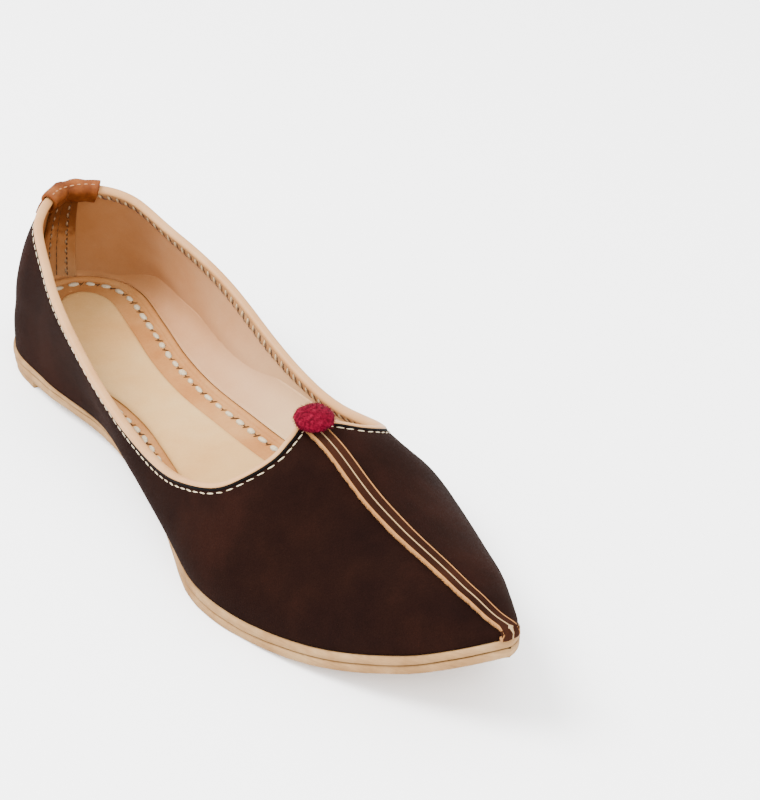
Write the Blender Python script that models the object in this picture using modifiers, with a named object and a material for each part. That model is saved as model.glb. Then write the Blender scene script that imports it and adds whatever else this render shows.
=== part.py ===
"""Mojari: a pointed slip-on shoe with a hollow suede upper on a flat leather sole.

Frame: +Z up, toe at -Y, heel at +Y, the shoe mirrored about X = 0, standing on Z = 0.
The last is a half outline (heel to toe) with a section above each of its points. A place on the
upper is (outline share, angle): share 0 is the centre back and 1 the toe tip, angle 0 is the
feather line, where upper and sole meet, and 90 degrees is the ridge along the middle.
"""
import math
from collections import namedtuple

import bmesh
import bpy
import numpy as np
from mathutils import Vector

# Driving sizes of the last, in metres
SHOE_LENGTH = 0.280        # feather line, from centre back to toe tip
BALL_WIDTH = 0.0894        # outline, across the ball
BACK_RISE = 0.0652         # height of the heel's sections above the feather line
INSTEP_RISE = 0.0404       # height of the ridge above the feather line at the throat
TOE_SPRING = 0.0243        # height of the toe tip's underside above the floor
ARCH_HEIGHT = 0.0040       # height of the waist's underside above the floor
WAIST_BULGE = 0.0082       # how far the quarters swell out over the narrow waist
WAIST_TUCK = 0.0058        # how far the upper's foot rolls in under the quarters at the waist
BALL_BELLY = 0.0008        # how far the suede hangs out over the sole at the ball
HEEL_CENTRE = 0.048        # centre of the heel's fan of sections, from the back
HEEL_BLEND = 0.0098        # length over which the fan turns into cross sections

# Leather and layers
GAP = 0.0003               # clearance between pieces that touch
UPPER_WALL = 0.0017        # suede with its lining
OUTSOLE_THICKNESS = 0.0030
MIDSOLE_THICKNESS = 0.0029
HEEL_LIFT = 0.0030         # height of the heel's underside above the floor
HEEL_LIFT_LENGTH = 0.046   # from the back of the sole to the breast
SOLE_LEDGE = 0.0008        # how far the sole's edge stands out past the feather line

# Inside of the shoe
INSOLE_THICKNESS = 0.0016
INSOLE_FIT = 0.0009        # clearance between the insole and the wall
INSOLE_END = 0.252         # from the centre back, where the toe closes in
HEEL_SEAT = 0.0070         # how far the insole is built up under the back of the heel
SEAT_START = 0.010         # from the centre back, where the seat begins to slope down
SEAT_END = 0.085
RAND_WIDTH = 0.0030        # rounded cord that rims the sewn part of the insole
RAND_HEIGHT = 0.0012
BAND_WIDTH = 0.0100        # stitched band between the cord and the sock
SOCK_THICKNESS = 0.0012

# Trim
BINDING_THICKNESS = 0.0007
BINDING_OUTSIDE = 0.0012   # how far the binding reaches down the outside
BINDING_ROOM = 0.0006      # between the upper's cut edge and the roll's underside
BINDING_CROWN = 0.0015     # roll above the upper's cut edge
FACING_DEPTH = 0.0044      # how far the binding reaches down the inside
MITRE = 0.011              # from the middle of the throat, where the facing turns to meet itself
TAB_THICKNESS = 0.0012
TAB_HALF_WIDTH = 0.0105    # across the collar, from the middle
TAB_OUTSIDE = 0.0110
TAB_INSIDE = 0.0058
BACK_STRIP_WIDTH = 0.0136
BACK_STRIP_THICKNESS = 0.0008
SEAM_STRIP_WIDTH = 0.0021
SEAM_STRIP_THICKNESS = 0.0010
SEAM_GROOVE = 0.0007       # open line between the two strips
SEAM_START = 0.0042        # from the throat's peak, past the binding's lip
SEAM_END = 0.0026          # from the toe tip
BUTTON_DIAMETER = 0.0128
BUTTON_HEIGHT = 0.0074
BUTTON_DIMPLE = 0.0010
BUTTON_FORWARD = 0.0034    # from the throat's peak
BUTTON_CUT = 0.55          # flat underside of the ball, in shares of its radius
DIMPLE_RADIUS = 0.3        # in shares of the ball's radius

Plan = namedtuple("Plan", "station half_width")
PLAN = (                   # station: share of the length, half width: share of half the ball's
    Plan(0.000, 0.000), Plan(0.030, 0.330), Plan(0.100, 0.656), Plan(0.200, 0.692),
    Plan(0.330, 0.663), Plan(0.460, 0.787), Plan(0.580, 0.919), Plan(0.680, 1.000),
    Plan(0.780, 0.854), Plan(0.880, 0.578), Plan(0.950, 0.307), Plan(0.985, 0.144),
    Plan(1.000, 0.000))
INSOLE_PLAN = (            # line of the insole's cord
    Plan(0.019, 0.000), Plan(0.026, 0.200), Plan(0.055, 0.400), Plan(0.100, 0.505),
    Plan(0.180, 0.470), Plan(0.260, 0.405), Plan(0.340, 0.372), Plan(0.420, 0.405),
    Plan(0.500, 0.455), Plan(0.600, 0.540), Plan(0.690, 0.585), Plan(0.780, 0.490),
    Plan(0.850, 0.300), Plan(0.882, 0.000))
INSOLE_TIP = SHOE_LENGTH * INSOLE_PLAN[-1].station
TIP_ROUNDING = 0.010       # length over which the cord's line closes at its front

SoleLine = namedtuple("SoleLine", "station heel arch spring midsole")
SOLE_LINE = (              # shares of the heel lift, arch height, toe spring, midsole thickness
    SoleLine(0.00, 1.0, 0.0, 0.0, 0.76), SoleLine(0.13, 1.0, 0.0, 0.0, 0.76),
    SoleLine(0.26, 0.0, 1.0, 0.0, 0.33), SoleLine(0.40, 0.0, 0.75, 0.0, 0.33),
    SoleLine(0.53, 0.0, 0.12, 0.0, 0.70), SoleLine(0.62, 0.0, 0.0, 0.0, 1.0),
    SoleLine(0.73, 0.0, 0.0, 0.0, 1.0), SoleLine(0.82, 0.0, 0.0, 0.10, 1.0),
    SoleLine(0.92, 0.0, 0.0, 0.45, 1.0), SoleLine(1.00, 0.0, 0.0, 1.0, 1.0))

Foot = namedtuple("Foot", "station tuck belly")
FOOT = (                   # shares of the waist's tuck and the ball's belly
    Foot(0.00, 0.00, 0.0), Foot(0.20, 0.00, 0.0), Foot(0.27, 0.14, 0.0), Foot(0.33, 0.47, 0.0),
    Foot(0.40, 0.85, 0.0), Foot(0.47, 1.00, 0.1), Foot(0.54, 0.88, 0.5), Foot(0.60, 0.42, 1.0),
    Foot(0.66, 0.15, 1.0), Foot(0.74, 0.05, 0.7), Foot(0.82, 0.00, 0.1), Foot(1.00, 0.00, 0.0))
ROLL_ANGLE = 15.0          # the tuck's roll ends here, in degrees
BELLY_ANGLE = 36.0

Section = namedtuple("Section", "station back instep fullness climb")
SECTIONS = (               # shares of the back and instep rise, and the two powers of the section
    Section(0.14, 1.00, 0.000, 0.77, 1.06), Section(0.30, 0.55, 0.465, 0.70, 1.09),
    Section(0.45, 0.12, 0.870, 0.71, 1.12), Section(0.58, 0.00, 1.000, 0.92, 1.14),
    Section(0.68, 0.00, 0.950, 1.05, 1.15), Section(0.78, 0.00, 0.725, 1.05, 1.06),
    Section(0.87, 0.00, 0.540, 0.97, 0.93), Section(0.94, 0.00, 0.315, 0.89, 0.83),
    Section(0.98, 0.00, 0.125, 0.84, 0.79), Section(1.00, 0.00, 0.055, 0.82, 0.77))

Swell = namedtuple("Swell", "share amount")
SWELL = (                  # along the outline, shares of the waist's bulge
    Swell(0.00, 0.08), Swell(0.15, 0.00), Swell(0.35, 1.00), Swell(0.55, -0.15),
    Swell(0.75, -0.07), Swell(0.90, 0.08), Swell(1.00, 0.00))

Edge = namedtuple("Edge", "share angle feather")
COLLAR = (                 # the top line: outline share, angle, and the share of the rib's foot
    Edge(0.000, 58.2, 0.000), Edge(0.099, 56.9, 0.100), Edge(0.201, 46.4, 0.200),
    Edge(0.301, 38.4, 0.300), Edge(0.401, 30.5, 0.400), Edge(0.500, 28.0, 0.500),
    Edge(0.565, 32.2, 0.578), Edge(0.627, 43.7, 0.655), Edge(0.648, 55.2, 0.697),
    Edge(0.655, 67.5, 0.733), Edge(0.647, 78.2, 0.765), Edge(0.634, 90.0, 0.795))
RIDGE = (                  # from the throat's peak to the toe tip
    Edge(0.634, 90.0, 0.795), Edge(0.710, 90.0, 0.826), Edge(0.800, 90.0, 0.868),
    Edge(0.880, 90.0, 0.915), Edge(0.950, 90.0, 0.962), Edge(1.000, 90.0, 1.000))
THROAT_SHARE = 0.5         # the throat's part of the top line has a greater share than this

STEPS_PER_ROW = 24         # points of an outline between two rows of its table
SAMPLES = 600              # points along a curve before it is thinned out
ANGLE_SCALE = 1 / 200      # degrees against shares, where a curve is drawn through both
COLUMNS_PER_EDGE = 4       # ribs of the upper between two rows of the tables above
UPPER_ROWS = 10
ROW_BIAS = 1.4             # above 1, the lowest rows are the closest
RIB_LEAN = 2.0             # above 1, ribs leave the throat forward before they go down
SOLE_COLUMNS = 56
STRIDE = 0.002             # length of one step of a walk over the upper
TOE_ROOM = 3.2             # the wall is thinned where the toe is lower than this many walls
THINNEST = 0.2
SHARE_STEP = 0.002         # steps over which directions are measured
ANGLE_STEP = 0.5
RIDGE_ANGLE = 89.99
MERGE = 1e-6


def through(rows, steps):
    """Points on a centripetal Catmull-Rom curve through rows; the first and last only lead it."""
    p = np.asarray(rows, float)
    points = []
    for before, start, end, after in zip(p, p[1:], p[2:], p[3:]):
        knots = [0.0]
        for one, two in ((before, start), (start, end), (end, after)):
            knots.append(knots[-1] + math.sqrt(max(np.linalg.norm(two - one), MERGE)))
        k0, k1, k2, k3 = knots
        t = np.linspace(k1, k2, steps, endpoint=False)[:, None]
        a1 = before + (start - before) * (t - k0) / (k1 - k0)
        a2 = start + (end - start) * (t - k1) / (k2 - k1)
        a3 = end + (after - end) * (t - k2) / (k3 - k2)
        b1 = a1 + (a2 - a1) * (t - k0) / (k2 - k0)
        b2 = a2 + (a3 - a2) * (t - k1) / (k3 - k1)
        points.append(b1 + (b2 - b1) * (t - k1) / (k2 - k1))
    points.append(p[-2][None])
    return np.concatenate(points)


def eased(x, table, name, first="station"):
    """Cubic curve through a table's column that never swings past its rows."""
    k = np.array([getattr(row, first) for row in table])
    v = np.array([getattr(row, name) for row in table])
    width = np.diff(k)
    grade = np.diff(v) / width
    slope = np.zeros_like(v)
    same = grade[:-1] * grade[1:] > 0
    slope[1:-1][same] = 2 * (grade[:-1] * grade[1:])[same] / (grade[:-1] + grade[1:])[same]
    slope[0], slope[-1] = grade[0], grade[-1]
    x = np.clip(x, k[0], k[-1])
    i = np.clip(np.searchsorted(k, x) - 1, 0, len(k) - 2)
    t = (x - k[i]) / width[i]
    return ((1 + 2 * t) * (1 - t) ** 2 * v[i] + t * (1 - t) ** 2 * width[i] * slope[i]
            + t * t * (3 - 2 * t) * v[i + 1] + t * t * (t - 1) * width[i] * slope[i + 1])


class Outline:
    """Half outline in (distance from the back, half width), mirrored at both ends."""

    def __init__(self, plan):
        rows = np.array([(row.station * SHOE_LENGTH, row.half_width * BALL_WIDTH / 2)
                         for row in plan])
        mirror = np.array([1, -1])
        self.points = through(np.vstack([rows[1] * mirror, rows, rows[-2] * mirror]), STEPS_PER_ROW)
        steps = np.linalg.norm(np.diff(self.points, axis=0), axis=1)
        self.share = np.concatenate([[0], np.cumsum(steps)]) / steps.sum()

    def at(self, share, offset=0.0):
        """Distance from the back and half width at shares, moved outward by an offset."""
        def spot(shares):
            return (np.interp(shares, self.share, self.points[:, 0]),
                    np.interp(shares, self.share, self.points[:, 1]))

        share = np.asarray(share, float)
        step = 2 * SHARE_STEP
        s, w = spot(share)
        low, high = spot(np.clip(share - step, 0, 1)), spot(np.clip(share + step, 0, 1))
        first, last = share < step, share > 1 - step
        ds = np.where(first | last, 0, high[0] - low[0])
        dw = np.where(first, 1, np.where(last, -1, high[1] - low[1]))
        norm = np.hypot(ds, dw)
        return s - dw / norm * offset, np.maximum(w + ds / norm * offset, 0)

    def share_at(self, distance):
        """Share of the place at a distance from the back."""
        return float(np.interp(distance, self.points[:, 0], self.share))

    def inset(self, depth, end, radius, count):
        """Curve inside the outline by a depth, from its back to an elliptic end."""
        s, w = self.at(np.linspace(0, self.share_at(end), SAMPLES), -depth)
        clear = np.hypot(s[:, None] - self.points[:, 0], w[:, None] - self.points[:, 1]).min(axis=1)
        kept = (clear > depth - MERGE * 10) & (s < end) & (w > 0)
        start = self.points[0, 0] + depth
        s, w = np.concatenate([[start], s[kept]]), np.concatenate([[0], w[kept]])
        t = np.clip((s - (end - radius)) / radius, 0, 1)
        s, w = np.append(s, end), np.append(w * np.sqrt(1 - t * t), 0)
        along = np.concatenate([[0], np.cumsum(np.hypot(np.diff(s), np.diff(w)))])
        pick = (1 - np.cos(np.linspace(0, math.pi, count + 1))) / 2 * along[-1]
        return np.interp(pick, along, s), np.interp(pick, along, w)


OUTLINE = Outline(PLAN)
INSOLE_LINE = Outline(INSOLE_PLAN)


def underside(s):
    """Height of the outsole's lower face at distances s from the back."""
    station = s / SHOE_LENGTH
    return (eased(station, SOLE_LINE, "heel") * HEEL_LIFT
            + eased(station, SOLE_LINE, "arch") * ARCH_HEIGHT
            + eased(station, SOLE_LINE, "spring") * TOE_SPRING)


def midsole_thickness(s):
    return eased(s / SHOE_LENGTH, SOLE_LINE, "midsole") * MIDSOLE_THICKNESS


def feather_height(s):
    return underside(s) + OUTSOLE_THICKNESS + midsole_thickness(s) + 2 * GAP


def tuck_at(s):
    return eased(s / SHOE_LENGTH, FOOT, "tuck") * WAIST_TUCK


def rise_at(station):
    return (eased(station, SECTIONS, "back") * BACK_RISE
            + eased(station, SECTIONS, "instep") * INSTEP_RISE)


def unit(vectors):
    return vectors / np.maximum(np.linalg.norm(vectors, axis=-1, keepdims=True), MERGE * MERGE)


def skin(share, angle):
    """Points on the upper's outer surface, on the side of +X, for arrays of places."""
    share, angle = np.broadcast_arrays(np.asarray(share, float), np.asarray(angle, float))
    s, w = OUTLINE.at(share)
    lead = np.minimum((HEEL_CENTRE - s) / HEEL_BLEND, 50)
    target = s + HEEL_BLEND * np.log1p(np.exp(lead))
    station = target / SHOE_LENGTH
    turn = np.radians(angle)
    run = np.hypot(target - s, w) + MERGE
    rolled = 1 - np.sqrt(1 - (1 - np.minimum(angle / ROLL_ANGLE, 1)) ** 2)
    inward = ((1 - np.maximum(np.cos(turn), 0) ** eased(station, SECTIONS, "fullness")) * run
              + tuck_at(s) * rolled)
    belly = eased(s / SHOE_LENGTH, FOOT, "belly") * BALL_BELLY
    outward = (eased(share, SWELL, "amount", "share") * WAIST_BULGE * np.sin(2 * turn) ** 2
               + belly * np.sin(math.pi * np.minimum(angle / BELLY_ANGLE, 1)) ** 2)
    move = (inward - outward) / run
    z = feather_height(s) + (rise_at(station) * np.maximum(np.sin(turn), 0)
                             ** eased(station, SECTIONS, "climb"))
    x = np.where(angle > RIDGE_ANGLE, 0, w - w * move)
    return np.stack([x, SHOE_LENGTH / 2 - (s + (target - s) * move), z], axis=-1)


def skin_normal(share, angle):
    """Outward directions of the upper's surface."""
    share, angle = np.broadcast_arrays(np.asarray(share, float), np.asarray(angle, float))
    low = np.maximum(share - SHARE_STEP, SHARE_STEP / 4)
    high = np.minimum(share + SHARE_STEP, 1 - SHARE_STEP / 4)
    along = skin(high, angle) - skin(low, angle)
    up = (skin(share, np.minimum(angle + ANGLE_STEP, 90 - ANGLE_STEP / 5))
          - skin(share, np.maximum(angle - ANGLE_STEP, ANGLE_STEP / 10)))
    normal = unit(np.cross(up, along))
    middle = (share < SHARE_STEP) | (share > 1 - SHARE_STEP) | (angle > 90 - 2 * ANGLE_STEP)
    normal[..., 0] = np.where(middle, 0, normal[..., 0])
    return unit(normal)


def walked(share, angle, heading, distance):
    """Places reached by a walk of some distance over the upper in a heading."""
    share, angle = (np.array(a, float) for a in np.broadcast_arrays(share, angle))
    heading = np.broadcast_to(heading, share.shape + (3,)).astype(float)
    steps = max(math.ceil(np.max(distance) / STRIDE), 1)
    for _ in range(steps):
        here = skin(share, angle)
        ahead = np.where(share < THROAT_SHARE, SHARE_STEP / 2, -SHARE_STEP / 2)
        turn = np.where(angle < 45, ANGLE_STEP / 2, -ANGLE_STEP / 2)
        along = (skin(share + ahead, angle) - here) / ahead[..., None]
        climb = (skin(share, angle + turn) - here) / turn[..., None]
        normal = unit(np.cross(along, climb))
        move = unit(heading - normal * (heading * normal).sum(-1, keepdims=True)) * distance / steps
        heading = unit(move)
        aa, cc, ac = (along * along).sum(-1), (climb * climb).sum(-1), (along * climb).sum(-1)
        am, cm = (along * move).sum(-1), (climb * move).sum(-1)
        det = aa * cc - ac * ac
        share = np.clip(share + (am * cc - cm * ac) / det, 0, 1)
        angle = np.clip(angle + (cm * aa - am * ac) / det, 0, 90)
    return share, angle


def off_skin(place, lift):
    """Points at a height above the upper's outer surface."""
    return skin(*place) + skin_normal(*place) * lift


def edge_rows(table, ghost_before, ghost_after):
    rows = [tuple(ghost_before)] + [tuple(row) for row in table] + [tuple(ghost_after)]
    scale = np.array([1, ANGLE_SCALE, 1])
    return through(np.array(rows) * scale, COLUMNS_PER_EDGE) / scale


def ribs():
    """Top and foot of every rib of the upper: those of the collar, then those of the ridge."""
    first, last, peak = COLLAR[1], COLLAR[-2], COLLAR[-1]
    collar = edge_rows(COLLAR, (-first.share, first.angle, -first.feather),
                       (last.share, 180 - last.angle, 2 * peak.feather - last.feather))
    second, end = RIDGE[1], RIDGE[-2]
    ridge = edge_rows(RIDGE, (2 * peak.share - second.share, 90, 2 * peak.feather - second.feather),
                      (2 - end.share, 90, 2 - end.feather))
    return collar, ridge


Frames = namedtuple("Frames", "share angle point normal up")


def collar_frames():
    """Places along half the top line, heel to peak, with the way out of the edge as up."""
    collar, _ = ribs()
    share, angle = collar[:, 0], np.minimum(collar[:, 1], 90)
    point = skin(share, angle)
    tangent = np.zeros_like(point)
    tangent[1:-1] = unit(point[2:] - point[:-2])
    tangent[0], tangent[-1] = (1, 0, 0), (-1, 0, 0)
    normal = skin_normal(share, angle)
    up = np.cross(tangent, normal)
    throat = share > THROAT_SHARE
    up[throat, 0] *= np.minimum(point[throat, 0] / MITRE, 1)
    return Frames(share, angle, point, normal, unit(up))


def at_edge(frames, out, lift):
    """Corners of a profile: out from the upper, up from its cut edge or down from it."""
    if lift >= 0:
        spots = frames.point + frames.normal * out + frames.up * lift
    else:
        spots = off_skin(walked(frames.share, frames.angle, -frames.up, -lift), out)
    spots[:, 0] = np.where(frames.point[:, 0] < MERGE, 0, np.maximum(spots[:, 0], GAP))
    return spots


def material(name, colour, roughness):
    made = bpy.data.materials.new(name)
    made.use_nodes = True
    shader = made.node_tree.nodes["Principled BSDF"]
    shader.inputs["Base Color"].default_value = (*colour, 1)
    shader.inputs["Roughness"].default_value = roughness
    shader.inputs["Metallic"].default_value = 0.0
    made.diffuse_color = (*colour, 1)
    return made


def finish(name, bm, collection, leather):
    """Merge what coincides and turn the bmesh into a named object."""
    bmesh.ops.remove_doubles(bm, verts=bm.verts, dist=MERGE)
    bmesh.ops.dissolve_degenerate(bm, edges=bm.edges, dist=MERGE)
    mesh = bpy.data.meshes.new(name)
    bm.to_mesh(mesh)
    bm.free()
    mesh.materials.append(leather)
    mesh.shade_smooth()
    mesh.set_sharp_from_angle(angle=math.radians(40))
    made = bpy.data.objects.new(name, mesh)
    collection.objects.link(made)
    return made


def mapped_grid(spots, inside_out=False):
    """Grid whose corner (i, j) lies at spots[i, j]."""
    columns, rows = spots.shape[0] - 1, spots.shape[1] - 1
    bm = bmesh.new()
    bmesh.ops.create_grid(bm, x_segments=columns, y_segments=rows, size=0.5)
    for vert in bm.verts:
        i, j = round((vert.co.x + 0.5) * columns), round((vert.co.y + 0.5) * rows)
        vert.co = spots[i, j]
    if inside_out:
        bmesh.ops.reverse_faces(bm, faces=bm.faces)
    return bm


def mirrored(made):
    mirror = made.modifiers.new("Mirror", "MIRROR")
    mirror.use_clip = True
    mirror.merge_threshold = MERGE * 10
    return made


def thickened(made, thickness, offset, group=""):
    sheet = made.modifiers.new("Thickness", "SOLIDIFY")
    sheet.thickness = thickness
    sheet.offset = offset
    sheet.use_even_offset = True
    sheet.vertex_group = group
    return made


def laid(name, collection, leather, rings):
    """Half solid in rings (distance from the back, half width, height) that start and end at the
    plane of symmetry: the first ring is its spine underneath, the last its spine on top."""
    spots = np.stack([np.stack([w + 0 * s, SHOE_LENGTH / 2 - s, z + 0 * s], axis=1)
                      for s, w, z in rings], axis=1)
    return mirrored(finish(name, mapped_grid(spots, inside_out=True), collection, leather))


def sole_layer(name, collection, leather, bottom, top, end=1.0):
    """Layer between two heights that follows the sole's edge from the back to share end."""
    shares = end * (1 - np.cos(np.linspace(0, math.pi, SOLE_COLUMNS + 1))) / 2
    s, w = OUTLINE.at(shares)
    s, w = OUTLINE.at(shares, SOLE_LEDGE - tuck_at(s))
    if end < 1:
        s, w = np.append(s, s[-1]), np.append(w, 0)
    low, high = bottom(s), top(s)
    return laid(name, collection, leather, ((s, 0, low), (s, w, low), (s, w, high), (s, 0, high)))


def sole(collection, leather):
    """Outsole, midsole, and a flat lift under the heel, straight across at the breast."""
    sole_layer("heel_lift", collection, leather, lambda s: 0 * s, lambda s: 0 * s + HEEL_LIFT - GAP,
               OUTLINE.share_at(HEEL_LIFT_LENGTH))
    sole_layer("outsole", collection, leather, underside, lambda s: underside(s) + OUTSOLE_THICKNESS)
    sole_layer("midsole", collection, leather, lambda s: underside(s) + OUTSOLE_THICKNESS + GAP,
               lambda s: feather_height(s) - GAP)


def seat_height(s):
    """Height of the insole's flat top above the feather line, built up under the heel."""
    t = np.clip((s - SEAT_START) / (SEAT_END - SEAT_START), 0, 1)
    return GAP + INSOLE_THICKNESS + HEEL_SEAT * (1 - t * t * (3 - 2 * t))


def insole(collection, leather):
    """Board inside the upper with a rounded cord round its sewn part."""
    shares = OUTLINE.share_at(INSOLE_END) * (1 - np.cos(np.linspace(0, math.pi, SOLE_COLUMNS + 1))) / 2
    s, _ = OUTLINE.at(shares)
    inset = tuck_at(s) + UPPER_WALL + INSOLE_FIT
    lean = INSOLE_FIT * (seat_height(s) - seat_height(SHOE_LENGTH)) / HEEL_SEAT

    def rim(depth):
        s, w = OUTLINE.at(shares, -depth)
        return np.append(s, s[-1]), np.append(w, 0)

    s, w = rim(inset)
    top_s, top_w = rim(inset + lean)
    rings = [(s, 0, feather_height(s) + GAP), (s, w, feather_height(s) + GAP),
             (top_s, top_w, feather_height(top_s) + seat_height(top_s))]
    for depth, lift in ((0, 0), (0.25, 0.8), (0.5, 1), (0.75, 0.8), (1, 0)):
        cord_s, cord_w = INSOLE_LINE.inset(depth * RAND_WIDTH + GAP, INSOLE_TIP - depth * RAND_WIDTH,
                                           TIP_ROUNDING, SOLE_COLUMNS + 1)
        rings.append((cord_s, cord_w,
                      feather_height(cord_s) + seat_height(cord_s) + lift * RAND_HEIGHT))
    cord_s = rings[-1][0]
    rings.append((cord_s, 0, feather_height(cord_s) + seat_height(cord_s)))
    return laid("insole", collection, leather, rings)


def sock(collection, leather):
    """Pad in the middle of the insole, inside the stitched band."""
    depth = RAND_WIDTH + BAND_WIDTH
    s, w = INSOLE_LINE.inset(depth, INSOLE_TIP - depth, 2 * depth, SOLE_COLUMNS)
    low = feather_height(s) + seat_height(s) + GAP
    high = low + SOCK_THICKNESS
    return laid("sock", collection, leather, ((s, 0, low), (s, w, low), (s, w, high), (s, 0, high)))


def upper(collection, leather):
    """One hollow wall from the feather line to the top line, open at the collar and underneath."""
    collar, ridge = ribs()
    tops = np.vstack([collar, ridge[1:]])[:, :, None]
    t = np.linspace(0, 1, UPPER_ROWS + 1) ** ROW_BIAS
    share = tops[:, 2] + (tops[:, 0] - tops[:, 2]) * t ** RIB_LEAN
    spots = skin(np.minimum(share, 1), np.minimum(tops[:, 1] * t, 90))
    spots[np.abs(spots[..., 0]) < MERGE, 0] = 0
    made = mirrored(finish("upper", mapped_grid(spots, inside_out=True), collection, leather))
    group = made.vertex_groups.new(name="wall")
    for vert in made.data.vertices:
        room = float(rise_at((SHOE_LENGTH / 2 - vert.co.y) / SHOE_LENGTH)) / (TOE_ROOM * UPPER_WALL)
        group.add([vert.index], min(max(room, THINNEST), 1), "REPLACE")
    return thickened(made, UPPER_WALL, -1, group.name)


def topline_binding(collection, leather):
    """Leather folded over the cut edge: a roll on top, a short lip outside, a facing inside."""
    lip = 2 * GAP + BINDING_THICKNESS
    inner = -UPPER_WALL - 2 * GAP
    facing = inner - BINDING_THICKNESS
    profile = (
        (GAP, BINDING_ROOM), (2 * GAP, -BINDING_OUTSIDE), (lip, -BINDING_OUTSIDE), (lip, 0.0),
        (lip / 2, BINDING_CROWN * 0.75), (-UPPER_WALL / 2, BINDING_CROWN),
        (inner - lip / 2, BINDING_CROWN * 0.75), (facing, 0.0), (facing, -FACING_DEPTH / 2),
        (facing, -FACING_DEPTH), (inner, -FACING_DEPTH), (inner, -FACING_DEPTH / 2),
        (inner, BINDING_ROOM), (GAP, BINDING_ROOM))
    frames = collar_frames()
    spots = np.stack([at_edge(frames, *corner) for corner in profile], axis=1)
    return mirrored(finish("topline_binding", mapped_grid(spots, inside_out=True), collection, leather))


def heel_tab(collection, leather):
    """Tab folded over the back of the collar, outside and inside."""
    frames = collar_frames()
    count = int(np.argmax(frames.point[:, 0] > TAB_HALF_WIDTH))
    t = ((TAB_HALF_WIDTH - frames.point[count - 1, 0])
         / (frames.point[count, 0] - frames.point[count - 1, 0]))
    cut = Frames(*(np.concatenate([v[:count], v[count - 1:count] * (1 - t) + v[count:count + 1] * t])
                   for v in frames))
    straight = cut._replace(up=unit(cut.up * np.array([0, 1, 1])))
    outer = 3 * GAP + BINDING_THICKNESS
    inner = -UPPER_WALL - outer - GAP
    top = BINDING_CROWN + GAP
    step = BINDING_OUTSIDE + BINDING_THICKNESS
    profile = (
        (2 * GAP, -TAB_OUTSIDE), (2 * GAP, -(step + TAB_OUTSIDE) / 2), (2 * GAP, -step),
        (outer, -BINDING_OUTSIDE), (outer, GAP), (outer * 0.75, top), (-UPPER_WALL / 2, top + GAP),
        (inner + outer / 4, top), (inner, GAP), (inner, -TAB_INSIDE / 2), (inner, -TAB_INSIDE))
    spots = np.stack([at_edge(straight, *corner) for corner in profile], axis=1)
    made = mirrored(finish("heel_tab", mapped_grid(spots), collection, leather))
    return thickened(made, TAB_THICKNESS, -1)


def back_strip(collection, leather):
    """Strip over the lining's seam, from the insole to the tab."""
    back = collar_frames()
    _, high = walked(back.share[0], back.angle[0], -back.up[0], TAB_INSIDE + 2 * GAP)
    foot = seat_height(0.0) + RAND_HEIGHT + 2 * GAP
    low = math.degrees(math.asin((foot / BACK_RISE) ** (1 / SECTIONS[0].climb)))
    shares = np.linspace(0, OUTLINE.share_at(HEEL_CENTRE), SAMPLES)
    across = off_skin((shares, (low + high) / 2), -UPPER_WALL)[:, 0]
    wide = np.interp(BACK_STRIP_WIDTH / 2, across, shares)
    columns, rows = 3, 8
    share, angle = np.meshgrid(np.linspace(0, wide, columns + 1), np.linspace(low, high, rows + 1),
                               indexing="ij")
    spots = off_skin((share, angle), -UPPER_WALL - 2 * GAP)
    spots[0, :, 0] = 0
    made = mirrored(finish("back_strip", mapped_grid(spots), collection, leather))
    return thickened(made, BACK_STRIP_THICKNESS, 1)


def seam_strip(name, side, collection, leather):
    """Strip beside the middle of the vamp, from the throat to the toe tip."""
    _, ridge = ribs()
    start, _ = walked(ridge[0, 0], 90, np.array([0, -1, 0]), SEAM_START)
    end = OUTLINE.share_at(SHOE_LENGTH - SEAM_END)
    between = ridge[(ridge[:, 0] > start + SHARE_STEP) & (ridge[:, 0] < end - SHARE_STEP), 0]
    shares = np.concatenate([[start], between, [end]])
    across = 3
    spots = np.stack([off_skin(walked(shares, 90, np.array([1, 0, 0]), SEAM_GROOVE / 2
                                      + SEAM_STRIP_WIDTH * j / across), 2 * GAP)
                      for j in range(across + 1)], axis=1)
    spots[..., 0] *= side
    bm = mapped_grid(spots, inside_out=side < 0)
    return thickened(finish(name, bm, collection, leather), SEAM_STRIP_THICKNESS, 1)


def wool_button(collection, leather):
    """Flattened ball with a small dimple, seated just in front of the throat's peak."""
    seat = walked(COLLAR[-1].share, 90, np.array([0, -1, 0]), BUTTON_FORWARD)
    base = Vector(off_skin(seat, 3 * GAP + SEAM_STRIP_THICKNESS))
    axis = Vector(skin_normal(*seat))
    bm = bmesh.new()
    bmesh.ops.create_uvsphere(bm, u_segments=24, v_segments=12, radius=1)
    for vert in bm.verts:
        flat = max(vert.co.z, -BUTTON_CUT)
        hollow = BUTTON_DIMPLE * math.exp(-(vert.co.xy.length / DIMPLE_RADIUS) ** 2) if flat > 0 else 0.0
        vert.co.x *= BUTTON_DIAMETER / 2
        vert.co.y *= BUTTON_DIAMETER / 2
        vert.co.z = (flat + BUTTON_CUT) / (1 + BUTTON_CUT) * BUTTON_HEIGHT - hollow
    bmesh.ops.transform(bm, verts=bm.verts, matrix=axis.to_track_quat("Z", "X").to_matrix().to_4x4())
    bmesh.ops.translate(bm, verts=bm.verts, vec=base)
    return finish("wool_button", bm, collection, leather)


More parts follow.
